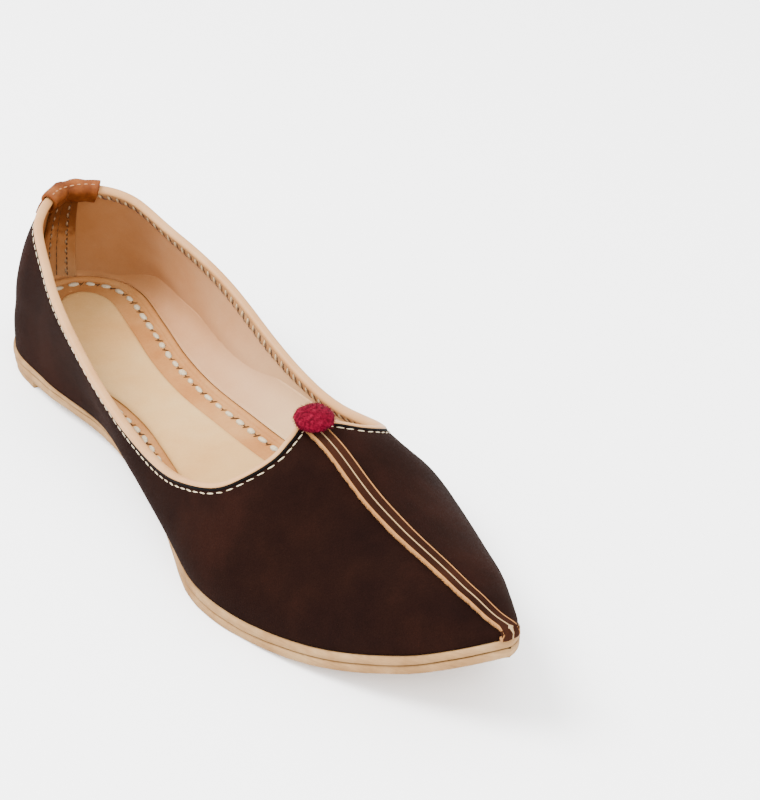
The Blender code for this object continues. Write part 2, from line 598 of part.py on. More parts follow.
def build():
    for leftover in list(bpy.data.objects):
        bpy.data.objects.remove(leftover)
    collection = bpy.data.collections.new("mojari")
    bpy.context.scene.collection.children.link(collection)
    suede = material("suede", (0.030, 0.013, 0.008), 0.95)
    veg_tan = material("veg_tan_leather", (0.72, 0.47, 0.30), 0.6)
    sole_leather = material("sole_leather", (0.70, 0.55, 0.38), 0.7)
    binding_leather = material("binding_leather", (0.86, 0.66, 0.45), 0.55)
    tab_leather = material("tab_leather", (0.45, 0.22, 0.11), 0.6)
    wool = material("wool", (0.22, 0.010, 0.055), 1.0)

    sole(collection, sole_leather)
    insole(collection, veg_tan)
    sock(collection, veg_tan)
    upper(collection, suede)
    topline_binding(collection, binding_leather)
    heel_tab(collection, tab_leather)
    back_strip(collection, tab_leather)
    seam_strip("seam_strip_left", 1, collection, suede)
    seam_strip("seam_strip_right", -1, collection, suede)
    wool_button(collection, wool)


build()
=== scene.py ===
"""Looks of a mojari: suede upper, leather lining, binding, insole, stitched trim and layered sole.

Metres, +Z up, toe at -Y, the shoe mirrored about X = 0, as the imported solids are. A place on the
upper is (outline share, angle): share 0 is the centre back and 1 the toe tip, angle 0 the feather
line, where upper and sole meet, and 90 degrees the ridge along the middle.
"""
import math
import random
from collections import namedtuple

import bmesh
import bpy
import numpy as np
from mathutils import Matrix, Vector


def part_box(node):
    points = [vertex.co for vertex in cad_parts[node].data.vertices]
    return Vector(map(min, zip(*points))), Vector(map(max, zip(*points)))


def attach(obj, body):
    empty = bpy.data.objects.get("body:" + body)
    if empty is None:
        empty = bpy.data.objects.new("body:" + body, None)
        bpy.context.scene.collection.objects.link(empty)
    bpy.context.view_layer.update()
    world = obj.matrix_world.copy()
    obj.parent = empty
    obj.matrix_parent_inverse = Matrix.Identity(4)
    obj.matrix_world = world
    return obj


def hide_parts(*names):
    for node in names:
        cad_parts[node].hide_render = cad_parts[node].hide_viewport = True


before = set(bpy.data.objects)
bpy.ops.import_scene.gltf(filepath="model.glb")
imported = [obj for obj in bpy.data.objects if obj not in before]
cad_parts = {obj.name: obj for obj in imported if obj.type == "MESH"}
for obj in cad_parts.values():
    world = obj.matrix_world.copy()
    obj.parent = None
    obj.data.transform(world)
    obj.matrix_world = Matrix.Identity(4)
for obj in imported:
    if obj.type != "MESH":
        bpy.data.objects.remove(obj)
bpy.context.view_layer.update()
random.seed(4)

# Sizes and tables of the last and its pieces, as the solids have them, in metres
upper_low, upper_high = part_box("upper")
SHOE_LENGTH = upper_high.y - upper_low.y
BALL_WIDTH = 0.0894        # outline, across the ball
BACK_RISE = 0.0652         # height of the heel's sections above the feather line
INSTEP_RISE = 0.0404       # height of the ridge above the feather line at the throat
TOE_SPRING = 0.0243        # height of the toe tip's underside above the floor
ARCH_HEIGHT = 0.0040       # height of the waist's underside above the floor
WAIST_BULGE = 0.0082       # how far the quarters swell out over the narrow waist
WAIST_TUCK = 0.0058        # how far the upper's foot rolls in under the quarters at the waist
BALL_BELLY = 0.0008        # how far the suede hangs out over the sole at the ball
HEEL_CENTRE = 0.048        # centre of the heel's fan of sections, from the back
HEEL_BLEND = 0.0098        # length over which the fan turns into cross sections

# Leather and layers
GAP = 0.0003               # clearance between pieces that touch
UPPER_WALL = 0.0017        # suede with its lining
OUTSOLE_THICKNESS = 0.0030
MIDSOLE_THICKNESS = 0.0029
HEEL_LIFT = 0.0030         # height of the heel's underside above the floor
HEEL_LIFT_LENGTH = 0.046   # from the back of the sole to the breast
SOLE_LEDGE = 0.0008        # how far the sole's edge stands out past the feather line

# Inside of the shoe
INSOLE_THICKNESS = 0.0016
INSOLE_FIT = 0.0009        # clearance between the insole and the wall
INSOLE_END = 0.252         # from the centre back, where the toe closes in
HEEL_SEAT = 0.0070         # how far the insole is built up under the back of the heel
SEAT_START = 0.010         # from the centre back, where the seat begins to slope down
SEAT_END = 0.085
RAND_WIDTH = 0.0030        # rounded cord that rims the sewn part of the insole
RAND_HEIGHT = 0.0012
BAND_WIDTH = 0.0100        # stitched band between the cord and the sock
SOCK_THICKNESS = 0.0012

# Trim
FACING_DEPTH = 0.0044      # how far the binding reaches down the inside
MITRE = 0.011              # from the middle of the throat, where the facing turns to meet itself
TAB_THICKNESS = 0.0012
TAB_HALF_WIDTH = 0.0105    # across the collar, from the middle
TAB_OUTSIDE = 0.0110
TAB_INSIDE = 0.0058
BACK_STRIP_WIDTH = 0.0136
BACK_STRIP_THICKNESS = 0.0008
SEAM_STRIP_WIDTH = 0.0021
SEAM_STRIP_THICKNESS = 0.0010
SEAM_GROOVE = 0.0007       # open line between the two strips
SEAM_START = 0.0042        # from the throat's peak, past the binding's lip

Plan = namedtuple("Plan", "station half_width")
PLAN = (                   # station: share of the length, half width: share of half the ball's
    Plan(0.000, 0.000), Plan(0.030, 0.330), Plan(0.100, 0.656), Plan(0.200, 0.692),
    Plan(0.330, 0.663), Plan(0.460, 0.787), Plan(0.580, 0.919), Plan(0.680, 1.000),
    Plan(0.780, 0.854), Plan(0.880, 0.578), Plan(0.950, 0.307), Plan(0.985, 0.144),
    Plan(1.000, 0.000))
INSOLE_PLAN = (            # line of the insole's cord
    Plan(0.019, 0.000), Plan(0.026, 0.200), Plan(0.055, 0.400), Plan(0.100, 0.505),
    Plan(0.180, 0.470), Plan(0.260, 0.405), Plan(0.340, 0.372), Plan(0.420, 0.405),
    Plan(0.500, 0.455), Plan(0.600, 0.540), Plan(0.690, 0.585), Plan(0.780, 0.490),
    Plan(0.850, 0.300), Plan(0.882, 0.000))
INSOLE_TIP = SHOE_LENGTH * INSOLE_PLAN[-1].station
TIP_ROUNDING = 0.010       # length over which the cord's line closes at its front

SoleLine = namedtuple("SoleLine", "station heel arch spring midsole")
SOLE_LINE = (              # shares of the heel lift, arch height, toe spring, midsole thickness
    SoleLine(0.00, 1.0, 0.0, 0.0, 0.76), SoleLine(0.13, 1.0, 0.0, 0.0, 0.76),
    SoleLine(0.26, 0.0, 1.0, 0.0, 0.33), SoleLine(0.40, 0.0, 0.75, 0.0, 0.33),
    SoleLine(0.53, 0.0, 0.12, 0.0, 0.70), SoleLine(0.62, 0.0, 0.0, 0.0, 1.0),
    SoleLine(0.73, 0.0, 0.0, 0.0, 1.0), SoleLine(0.82, 0.0, 0.0, 0.10, 1.0),
    SoleLine(0.92, 0.0, 0.0, 0.45, 1.0), SoleLine(1.00, 0.0, 0.0, 1.0, 1.0))

Foot = namedtuple("Foot", "station tuck belly")
FOOT = (                   # shares of the waist's tuck and the ball's belly
    Foot(0.00, 0.00, 0.0), Foot(0.20, 0.00, 0.0), Foot(0.27, 0.14, 0.0), Foot(0.33, 0.47, 0.0),
    Foot(0.40, 0.85, 0.0), Foot(0.47, 1.00, 0.1), Foot(0.54, 0.88, 0.5), Foot(0.60, 0.42, 1.0),
    Foot(0.66, 0.15, 1.0), Foot(0.74, 0.05, 0.7), Foot(0.82, 0.00, 0.1), Foot(1.00, 0.00, 0.0))
ROLL_ANGLE = 15.0          # the tuck's roll ends here, in degrees
BELLY_ANGLE = 36.0

Section = namedtuple("Section", "station back instep fullness climb")
SECTIONS = (               # shares of the back and instep rise, and the two powers of the section
    Section(0.14, 1.00, 0.000, 0.77, 1.06), Section(0.30, 0.55, 0.465, 0.70, 1.09),
    Section(0.45, 0.12, 0.870, 0.71, 1.12), Section(0.58, 0.00, 1.000, 0.92, 1.14),
    Section(0.68, 0.00, 0.950, 1.05, 1.15), Section(0.78, 0.00, 0.725, 1.05, 1.06),
    Section(0.87, 0.00, 0.540, 0.97, 0.93), Section(0.94, 0.00, 0.315, 0.89, 0.83),
    Section(0.98, 0.00, 0.125, 0.84, 0.79), Section(1.00, 0.00, 0.055, 0.82, 0.77))

Swell = namedtuple("Swell", "share amount")
SWELL = (                  # along the outline, shares of the waist's bulge
    Swell(0.00, 0.08), Swell(0.15, 0.00), Swell(0.35, 1.00), Swell(0.55, -0.15),
    Swell(0.75, -0.07), Swell(0.90, 0.08), Swell(1.00, 0.00))

Edge = namedtuple("Edge", "share angle feather")
COLLAR = (                 # the top line: outline share, angle, and the share of the rib's foot
    Edge(0.000, 58.2, 0.000), Edge(0.099, 56.9, 0.100), Edge(0.201, 46.4, 0.200),
    Edge(0.301, 38.4, 0.300), Edge(0.401, 30.5, 0.400), Edge(0.500, 28.0, 0.500),
    Edge(0.565, 32.2, 0.578), Edge(0.627, 43.7, 0.655), Edge(0.648, 55.2, 0.697),
    Edge(0.655, 67.5, 0.733), Edge(0.647, 78.2, 0.765), Edge(0.634, 90.0, 0.795))
RIDGE = (                  # from the throat's peak to the toe tip
    Edge(0.634, 90.0, 0.795), Edge(0.710, 90.0, 0.826), Edge(0.800, 90.0, 0.868),
    Edge(0.880, 90.0, 0.915), Edge(0.950, 90.0, 0.962), Edge(1.000, 90.0, 1.000))
THROAT_SHARE = 0.5         # the throat's part of the top line has a greater share than this
STEPS_PER_ROW = 24         # points of an outline between two rows of its table
SAMPLES = 600              # points along a curve before it is thinned out
ANGLE_SCALE = 1 / 200      # degrees against shares, where a curve is drawn through both
Lopsided = namedtuple("Lopsided", "station amount")
LOPSIDED = (               # how far the insole's near half is spread towards the near wall
    Lopsided(0.00, 0.0), Lopsided(0.08, 0.25), Lopsided(0.22, 1.0), Lopsided(0.60, 1.0),
    Lopsided(0.78, 0.3), Lopsided(0.86, 0.0), Lopsided(1.00, 0.0))

COLUMNS_PER_EDGE = 11      # ribs of the upper between two rows of the tables above
UPPER_ROWS = 40
RIB_LEAN = 2.0             # above 1, ribs leave the throat forward before they go down
SOLE_COLUMNS = 150
STRIDE = 0.002             # length of one step of a walk over the upper
TOE_ROOM = 3.2             # the wall is thinned where the toe is lower than this many walls
THINNEST = 0.2
SHARE_STEP = 0.002         # steps over which directions are measured
ANGLE_STEP = 0.5
RIDGE_ANGLE = 89.99
MERGE = 1e-6

# Stitches and edges, in metres
STITCH_START = 0.0128      # from the centre back, past the tab
TOPLINE_PITCH = 0.0033
TOPLINE_STITCH = 0.0027
TOPLINE_INSET = 0.0016     # from the binding's lip
# width of the near-black strip under the binding's lip, a painted shadow
LIP_SHADOW_WIDTH = 0.0007
WHIP_PITCH = 0.0037
WHIP_LENGTH = 0.0030
INSOLE_STITCH = 0.0040
INSOLE_PITCH = 0.0064
STITCH_LINE = 0.0040       # from the middle of the cord
TAB_PITCH = 0.0026
SOLE_WANDER = 0.00016
SOLE_ROUNDING = 0.0004
HEEL_INSET = 0.0006
COVE_HEIGHT = 0.0085       # the lining's cove is as high as wide, up to this
MARGIN_END = 0.236
MARGIN_PACE = 0.905        # outline share of the wall beside a share of the cord's line
NEAR_EDGE, FAR_EDGE = 0.00045, 0.0004
ROLL_OUTSIDE = 0.0008      # the roll outside the suede, past its face inside, and over its edge
ROLL_INSIDE = 0.0008
ROLL_CROWN = 0.0011
ROLL_LIP = 0.0009
BUTTON_SETTLED = Vector((0, -0.0006, -0.0012))
SEAM_TIP = 0.0005          # from the toe tip, where the seam turns down its front
SEAM_FOOT = 5.0            # angle at which the seam meets the sole
OUTLINE_LENGTH = 0.320
SHADE = 0.42               # leather and thread against the studio's brightness


# ---- The last ----

def through(rows, steps):
    """Points on a centripetal Catmull-Rom curve through rows; the first and last only lead it."""
    p = np.asarray(rows, float)
    points = []
    for before, start, end, after in zip(p, p[1:], p[2:], p[3:]):
        knots = [0.0]
        for one, two in ((before, start), (start, end), (end, after)):
            knots.append(knots[-1] + math.sqrt(max(np.linalg.norm(two - one), MERGE)))
        k0, k1, k2, k3 = knots
        t = np.linspace(k1, k2, steps, endpoint=False)[:, None]
        a1 = before + (start - before) * (t - k0) / (k1 - k0)
        a2 = start + (end - start) * (t - k1) / (k2 - k1)
        a3 = end + (after - end) * (t - k2) / (k3 - k2)
        b1 = a1 + (a2 - a1) * (t - k0) / (k2 - k0)
        b2 = a2 + (a3 - a2) * (t - k1) / (k3 - k1)
        points.append(b1 + (b2 - b1) * (t - k1) / (k2 - k1))
    points.append(p[-2][None])
    return np.concatenate(points)


def eased(x, table, name, first="station"):
    """Cubic curve through a table's column that never swings past its rows."""
    k = np.array([getattr(row, first) for row in table])
    v = np.array([getattr(row, name) for row in table])
    width = np.diff(k)
    grade = np.diff(v) / width
    slope = np.zeros_like(v)
    same = grade[:-1] * grade[1:] > 0
    slope[1:-1][same] = 2 * (grade[:-1] * grade[1:])[same] / (grade[:-1] + grade[1:])[same]
    slope[0], slope[-1] = grade[0], grade[-1]
    x = np.clip(x, k[0], k[-1])
    i = np.clip(np.searchsorted(k, x) - 1, 0, len(k) - 2)
    t = (x - k[i]) / width[i]
    return ((1 + 2 * t) * (1 - t) ** 2 * v[i] + t * (1 - t) ** 2 * width[i] * slope[i]
            + t * t * (3 - 2 * t) * v[i + 1] + t * t * (t - 1) * width[i] * slope[i + 1])


class Outline:
    """Half outline in (distance from the back, half width), mirrored at both ends."""

    def __init__(self, plan):
        rows = np.array([(row.station * SHOE_LENGTH, row.half_width * BALL_WIDTH / 2)
                         for row in plan])
        mirror = np.array([1, -1])
        self.points = through(np.vstack([rows[1] * mirror, rows, rows[-2] * mirror]), STEPS_PER_ROW)
        steps = np.linalg.norm(np.diff(self.points, axis=0), axis=1)
        self.share = np.concatenate([[0], np.cumsum(steps)]) / steps.sum()

    def at(self, share, offset=0.0):
        """Distance from the back and half width at shares, moved outward by an offset."""
        def spot(shares):
            return (np.interp(shares, self.share, self.points[:, 0]),
                    np.interp(shares, self.share, self.points[:, 1]))

        share = np.asarray(share, float)
        step = 2 * SHARE_STEP
        s, w = spot(share)
        low, high = spot(np.clip(share - step, 0, 1)), spot(np.clip(share + step, 0, 1))
        first, last = share < step, share > 1 - step
        ds = np.where(first | last, 0, high[0] - low[0])
        dw = np.where(first, 1, np.where(last, -1, high[1] - low[1]))
        norm = np.hypot(ds, dw)
        return s - dw / norm * offset, np.maximum(w + ds / norm * offset, 0)

    def share_at(self, distance):
        """Share of the place at a distance from the back."""
        return float(np.interp(distance, self.points[:, 0], self.share))

    def inset(self, depth, end, radius, count):
        """Curve inside the outline by a depth, from its back to an elliptic end."""
        s, w = self.at(np.linspace(0, self.share_at(end), SAMPLES), -depth)
        clear = np.hypot(s[:, None] - self.points[:, 0], w[:, None] - self.points[:, 1]).min(axis=1)
        kept = (clear > depth - MERGE * 10) & (s < end) & (w > 0)
        start = self.points[0, 0] + depth
        s, w = np.concatenate([[start], s[kept]]), np.concatenate([[0], w[kept]])
        t = np.clip((s - (end - radius)) / radius, 0, 1)
        s, w = np.append(s, end), np.append(w * np.sqrt(1 - t * t), 0)
        along = np.concatenate([[0], np.cumsum(np.hypot(np.diff(s), np.diff(w)))])
        pick = (1 - np.cos(np.linspace(0, math.pi, count + 1))) / 2 * along[-1]
        return np.interp(pick, along, s), np.interp(pick, along, w)


OUTLINE = Outline(PLAN)
INSOLE_LINE = Outline(INSOLE_PLAN)


def underside(s):
    """Height of the outsole's lower face at distances s from the back."""
    station = s / SHOE_LENGTH
    return (eased(station, SOLE_LINE, "heel") * HEEL_LIFT
            + eased(station, SOLE_LINE, "arch") * ARCH_HEIGHT
            + eased(station, SOLE_LINE, "spring") * TOE_SPRING)


def midsole_thickness(s):
    return eased(s / SHOE_LENGTH, SOLE_LINE, "midsole") * MIDSOLE_THICKNESS


def feather_height(s):
    return underside(s) + OUTSOLE_THICKNESS + midsole_thickness(s) + 2 * GAP


def tuck_at(s):
    return eased(s / SHOE_LENGTH, FOOT, "tuck") * WAIST_TUCK


def rise_at(station):
    return (eased(station, SECTIONS, "back") * BACK_RISE
            + eased(station, SECTIONS, "instep") * INSTEP_RISE)


def unit(vectors):
    return vectors / np.maximum(np.linalg.norm(vectors, axis=-1, keepdims=True), MERGE * MERGE)


def skin(share, angle):
    """Points on the upper's outer surface, on the side of +X, for arrays of places."""
    share, angle = np.broadcast_arrays(np.asarray(share, float), np.asarray(angle, float))
    s, w = OUTLINE.at(share)
    lead = np.minimum((HEEL_CENTRE - s) / HEEL_BLEND, 50)
    target = s + HEEL_BLEND * np.log1p(np.exp(lead))
    station = target / SHOE_LENGTH
    turn = np.radians(angle)
    run = np.hypot(target - s, w) + MERGE
    rolled = 1 - np.sqrt(1 - (1 - np.minimum(angle / ROLL_ANGLE, 1)) ** 2)
    inward = ((1 - np.maximum(np.cos(turn), 0) ** eased(station, SECTIONS, "fullness")) * run
              + tuck_at(s) * rolled)
    belly = eased(s / SHOE_LENGTH, FOOT, "belly") * BALL_BELLY
    outward = (eased(share, SWELL, "amount", "share") * WAIST_BULGE * np.sin(2 * turn) ** 2
               + belly * np.sin(math.pi * np.minimum(angle / BELLY_ANGLE, 1)) ** 2)
    move = (inward - outward) / run
    z = feather_height(s) + (rise_at(station) * np.maximum(np.sin(turn), 0)
                             ** eased(station, SECTIONS, "climb"))
    x = np.where(angle > RIDGE_ANGLE, 0, w - w * move)
    return np.stack([x, SHOE_LENGTH / 2 - (s + (target - s) * move), z], axis=-1)


def skin_normal(share, angle):
    """Outward directions of the upper's surface."""
    share, angle = np.broadcast_arrays(np.asarray(share, float), np.asarray(angle, float))
    low = np.maximum(share - SHARE_STEP, SHARE_STEP / 4)
    high = np.minimum(share + SHARE_STEP, 1 - SHARE_STEP / 4)
    along = skin(high, angle) - skin(low, angle)
    up = (skin(share, np.minimum(angle + ANGLE_STEP, 90 - ANGLE_STEP / 5))
          - skin(share, np.maximum(angle - ANGLE_STEP, ANGLE_STEP / 10)))
    normal = unit(np.cross(up, along))
    middle = (share < SHARE_STEP) | (share > 1 - SHARE_STEP) | (angle > 90 - 2 * ANGLE_STEP)
    normal[..., 0] = np.where(middle, 0, normal[..., 0])
    return unit(normal)


def walked(share, angle, heading, distance):
    """Places reached by a walk of some distance over the upper in a heading."""
    share, angle = (np.array(a, float) for a in np.broadcast_arrays(share, angle))
    heading = np.broadcast_to(heading, share.shape + (3,)).astype(float)
    steps = max(math.ceil(np.max(distance) / STRIDE), 1)
    distance = np.asarray(distance, float)[..., None]
    for _ in range(steps):
        here = skin(share, angle)
        ahead = np.where(share < THROAT_SHARE, SHARE_STEP / 2, -SHARE_STEP / 2)
        turn = np.where(angle < 45, ANGLE_STEP / 2, -ANGLE_STEP / 2)
        along = (skin(share + ahead, angle) - here) / ahead[..., None]
        climb = (skin(share, angle + turn) - here) / turn[..., None]
        normal = unit(np.cross(along, climb))
        move = unit(heading - normal * (heading * normal).sum(-1, keepdims=True)) * distance / steps
        heading = unit(move)
        aa, cc, ac = (along * along).sum(-1), (climb * climb).sum(-1), (along * climb).sum(-1)
        am, cm = (along * move).sum(-1), (climb * move).sum(-1)
        det = aa * cc - ac * ac
        share = np.clip(share + (am * cc - cm * ac) / det, 0, 1)
        angle = np.clip(angle + (cm * aa - am * ac) / det, 0, 90)
    return share, angle


def off_skin(place, lift):
    """Points at a height above the upper's outer surface."""
    return skin(*place) + skin_normal(*place) * np.asarray(lift)[..., None]


def edge_rows(table, ghost_before, ghost_after):
    rows = [tuple(ghost_before)] + [tuple(row) for row in table] + [tuple(ghost_after)]
    scale = np.array([1, ANGLE_SCALE, 1])
    return through(np.array(rows) * scale, COLUMNS_PER_EDGE) / scale


def ribs():
    """Top and foot of every rib of the upper: those of the collar, then those of the ridge."""
    first, last, peak = COLLAR[1], COLLAR[-2], COLLAR[-1]
    collar = edge_rows(COLLAR, (-first.share, first.angle, -first.feather),
                       (last.share, 180 - last.angle, 2 * peak.feather - last.feather))
    second, end = RIDGE[1], RIDGE[-2]
    ridge = edge_rows(RIDGE, (2 * peak.share - second.share, 90, 2 * peak.feather - second.feather),
                      (2 - end.share, 90, 2 - end.feather))
    return collar, ridge


Frames = namedtuple("Frames", "share angle point normal up")


def collar_frames():
    """Places along half the top line, heel to peak, with the way out of the edge as up."""
    collar, _ = ribs()
    share, angle = collar[:, 0], np.minimum(collar[:, 1], 90)
    point = skin(share, angle)
    tangent = np.zeros_like(point)
    tangent[1:-1] = unit(point[2:] - point[:-2])
    tangent[0], tangent[-1] = (1, 0, 0), (-1, 0, 0)
    normal = skin_normal(share, angle)
    up = np.cross(tangent, normal)
    throat = share > THROAT_SHARE
    up[throat, 0] *= np.minimum(point[throat, 0] / MITRE, 1)
    return Frames(share, angle, point, normal, unit(up))


def at_edge(frames, out, lift):
    """Corners of a profile: out from the upper, up from its cut edge or down from it."""
    if lift >= 0:
        spots = frames.point + frames.normal * out + frames.up * lift
    else:
        spots = off_skin(walked(frames.share, frames.angle, -frames.up, -lift), out)
    spots[:, 0] = np.where(frames.point[:, 0] < MERGE, 0, np.maximum(spots[:, 0], GAP))
    return spots


# ---- Materials ----

def colour(code, shade=SHADE):
    """Linear colour of an sRGB hex value, made darker by a factor to suit the bright studio."""
    parts = [int(code[i:i + 2], 16) / 255 for i in (1, 3, 5)]
    return tuple(shade * (c / 12.92 if c <= 0.04045 else ((c + 0.055) / 1.055) ** 2.4) for c in parts) + (1.0,)


def node(tree, kind, links=None, **settings):
    """Add a node; settings go to its properties or, by socket name, its inputs; links feed inputs."""
    made = tree.nodes.new("ShaderNode" + kind)
    for name, value in settings.items():
        if hasattr(made, name):
            setattr(made, name, value)
        else:
            made.inputs[name.replace("_", " ")].default_value = value
    for socket, source in (links or {}).items():
        tree.links.new(source, made.inputs[socket])
    return made


def start_material(name, roughness, **settings):
    made = bpy.data.materials.new(name)
    made.use_nodes = True
    tree = made.node_tree
    shader = tree.nodes["Principled BSDF"]
    shader.inputs["Roughness"].default_value = roughness
    for socket, value in settings.items():
        shader.inputs[socket.replace("_", " ")].default_value = value
    place = node(tree, "TexCoord").outputs["Object"]
    return made, tree, shader, place


def noise(tree, place, size_mm, detail=3.0, roughness=0.55, stretch=None):
    """Noise whose features are about size_mm across, stretched along an axis by a factor."""
    if stretch:
        place = node(tree, "Mapping", {"Vector": place}, Scale=stretch).outputs["Vector"]
    made = node(tree, "TexNoise", {"Vector": place}, Scale=1000 / size_mm, Detail=detail,
                Roughness=roughness)
    return made.outputs["Fac"]


def ramp(tree, factor, *stops):
    made = node(tree, "ValToRGB", {"Fac": factor})
    elements = made.color_ramp.elements
    while len(elements) < len(stops):
        elements.new(0.5)
    for element, (position, value) in zip(elements, stops):
        element.position = position
        element.color = colour(value) if isinstance(value, str) else (value, value, value, 1)
    return made.outputs["Color"]


def mixed(tree, blend, factor, one, two):
    made = tree.nodes.new("ShaderNodeMix")
    made.data_type = "RGBA"
    made.blend_type = blend
    for name, value in (("Factor", factor), ("A", one), ("B", two)):
        socket = next(s for s in made.inputs if s.name == name and (name == "Factor" or s.type == "RGBA"))
        if isinstance(value, bpy.types.NodeSocket):
            tree.links.new(value, socket)
        else:
            socket.default_value = value
    return next(s for s in made.outputs if s.type == "RGBA")


def bumped(tree, shader, height, distance_mm, strength=1.0, under=None):
    links = {"Height": height}
    if under:
        links["Normal"] = under
    made = node(tree, "Bump", links, Distance=distance_mm / 1000, Strength=strength)
    tree.links.new(made.outputs["Normal"], shader.inputs["Normal"])
    return made.outputs["Normal"]


def suede_material(name, dark, mid, light):
    """Suede: the flesh side of the leather, buffed; a short nap, dull, with a faint glow at its rim."""
    made, tree, shader, place = start_material(
        name, 1.0, Specular_IOR_Level=0.03, Sheen_Weight=0.03, Sheen_Roughness=0.5,
        Sheen_Tint=colour("#a0643f"))
    brushed = noise(tree, place, 30, detail=4, roughness=0.6)
    blotch = noise(tree, place, 5, detail=4, roughness=0.65)
    nap = noise(tree, place, 0.55, detail=3, roughness=0.7)
    base = ramp(tree, brushed, (0.35, dark), (0.5, mid), (0.66, light))
    base = mixed(tree, "MULTIPLY", 0.4, base, ramp(tree, blotch, (0.32, 0.86), (0.68, 1.1)))
    base = mixed(tree, "MULTIPLY", 0.55, base, ramp(tree, nap, (0.25, 0.55), (0.75, 1.35)))
    tree.links.new(base, shader.inputs["Base Color"])
    first = bumped(tree, shader, nap, 0.14, 0.8)
    bumped(tree, shader, blotch, 0.2, 0.3, first)
    return made


def leather_material(name, stops, roughness, grain_mm, grain_depth, patch=(18, 0.25), coat=0.0):
    """Vegetable-tanned leather: pale and even, with pores and slow shifts of tone."""
    made, tree, shader, place = start_material(name, roughness, Coat_Weight=coat, Coat_Roughness=0.35,
                                               Specular_IOR_Level=0.08)
    patches = noise(tree, place, patch[0], detail=4, roughness=0.6)
    base = ramp(tree, patches, *stops)
    pores = noise(tree, place, grain_mm, detail=3, roughness=0.6)
    base = mixed(tree, "MULTIPLY", patch[1], base, ramp(tree, pores, (0.3, 0.72), (0.65, 1.08)))
    tree.links.new(base, shader.inputs["Base Color"])
    bumped(tree, shader, pores, grain_depth, 0.6)
    return made


def lining_material():
    """Vegetable-tanned lining: peach at the front, browned by handling towards the heel."""
    made, tree, shader, place = start_material("veg_tan_lining", 0.62, Specular_IOR_Level=0.06)
    where = node(tree, "SeparateXYZ", {"Vector": place}).outputs["Y"]
    length = node(tree, "MapRange", {"Value": where}, From_Min=-0.01, From_Max=0.135).outputs["Result"]
    cloud = noise(tree, place, 34, detail=4, roughness=0.6)
    moved = node(tree, "Math", {0: cloud}, operation="MULTIPLY_ADD")
    moved.inputs[1].default_value, moved.inputs[2].default_value = 0.7, -0.35
    heel = node(tree, "Math", {0: length, 1: moved.outputs[0]}, operation="ADD").outputs[0]
    base = ramp(tree, heel, (0.0, LINING_FRONT), (0.35, "#f0bb8b"), (0.7, "#e0a06c"), (1.0, LINING_HEEL))
    pores = noise(tree, place, 0.7, detail=3)
    base = mixed(tree, "MULTIPLY", 0.2, base, ramp(tree, pores, (0.3, 0.75), (0.7, 1.05)))
    tree.links.new(base, shader.inputs["Base Color"])
    creases = noise(tree, place, 9, detail=4, roughness=0.6)
    first = bumped(tree, shader, pores, 0.05, 0.4)
    bumped(tree, shader, creases, 0.5, 0.25, first)
    return made


def worn_strip_material():
    """Tan leather of the back strip, stained dark where the tab rubs it."""
    made, tree, shader, place = start_material("stained_tan_leather", 0.65, Specular_IOR_Level=0.06)
    where = node(tree, "SeparateXYZ", {"Vector": place}).outputs["Z"]
    height = node(tree, "MapRange", {"Value": where}, From_Min=0.020, From_Max=0.056).outputs["Result"]
    cloud = noise(tree, place, 7, detail=4, roughness=0.65)
    moved = node(tree, "Math", {0: cloud}, operation="MULTIPLY_ADD")
    moved.inputs[1].default_value, moved.inputs[2].default_value = 0.9, -0.45
    high = node(tree, "Math", {0: height, 1: moved.outputs[0]}, operation="ADD").outputs[0]
    base = ramp(tree, high, (0.0, "#cf9560"), (0.45, "#c18046"), (0.62, "#935629"), (0.9, "#7d4520"))
    tree.links.new(base, shader.inputs["Base Color"])
    bumped(tree, shader, noise(tree, place, 1.6, detail=4), 0.15, 0.5)
    return made


def sole_material():
    """Sole leather cut with a knife: a fibrous edge with fine streaks along the layers."""
    made, tree, shader, place = start_material("sole_leather_edge", 0.75, Specular_IOR_Level=0.06)
    streak = noise(tree, place, 9, detail=5, roughness=0.7, stretch=(1, 1, 22))
    patch = noise(tree, place, 12, detail=4, roughness=0.6)
    base = ramp(tree, patch, (0.32, "#aa7e50"), (0.5, "#c29563"), (0.68, "#d2a977"))
    base = mixed(tree, "MULTIPLY", 0.5, base, ramp(tree, streak, (0.32, 0.60), (0.58, 1.05)))
    tree.links.new(base, shader.inputs["Base Color"])
    bumped(tree, shader, noise(tree, place, 2.0, detail=4, stretch=(1, 1, 7)), 0.15, 0.6)
    return made


def thread_material(name, light, dark):
    """Twisted cotton thread, waxed."""
    made, tree, shader, place = start_material(name, 0.7)
    base = ramp(tree, noise(tree, place, 0.5, detail=2), (0.35, dark), (0.65, light))
    tree.links.new(base, shader.inputs["Base Color"])
    return made


def wool_material():
    """Felted wool, dyed dark pink, with loose fibres over it."""
    made, tree, shader, place = start_material("felted_wool", 0.95, Sheen_Weight=0.15, Sheen_Roughness=0.4,
                                               Sheen_Tint=colour("#a8305c"), Specular_IOR_Level=0.05)
    tuft = noise(tree, place, 1.1, detail=4, roughness=0.7)
    base = ramp(tree, tuft, (0.3, "#42020f"), (0.5, "#740622"), (0.7, "#a01238"))
    tree.links.new(base, shader.inputs["Base Color"])
    bumped(tree, shader, tuft, 0.4, 0.8)
    return made


def plain_material(name, code, roughness):
    """One colour with a slight grain."""
    made, tree, shader, place = start_material(name, roughness, Specular_IOR_Level=0.05)
    tint = noise(tree, place, 2.0, detail=2)
    base = mixed(tree, "MULTIPLY", 0.3, colour(code), ramp(tree, tint, (0.3, 0.7), (0.7, 1.1)))
    tree.links.new(base, shader.inputs["Base Color"])
    return made


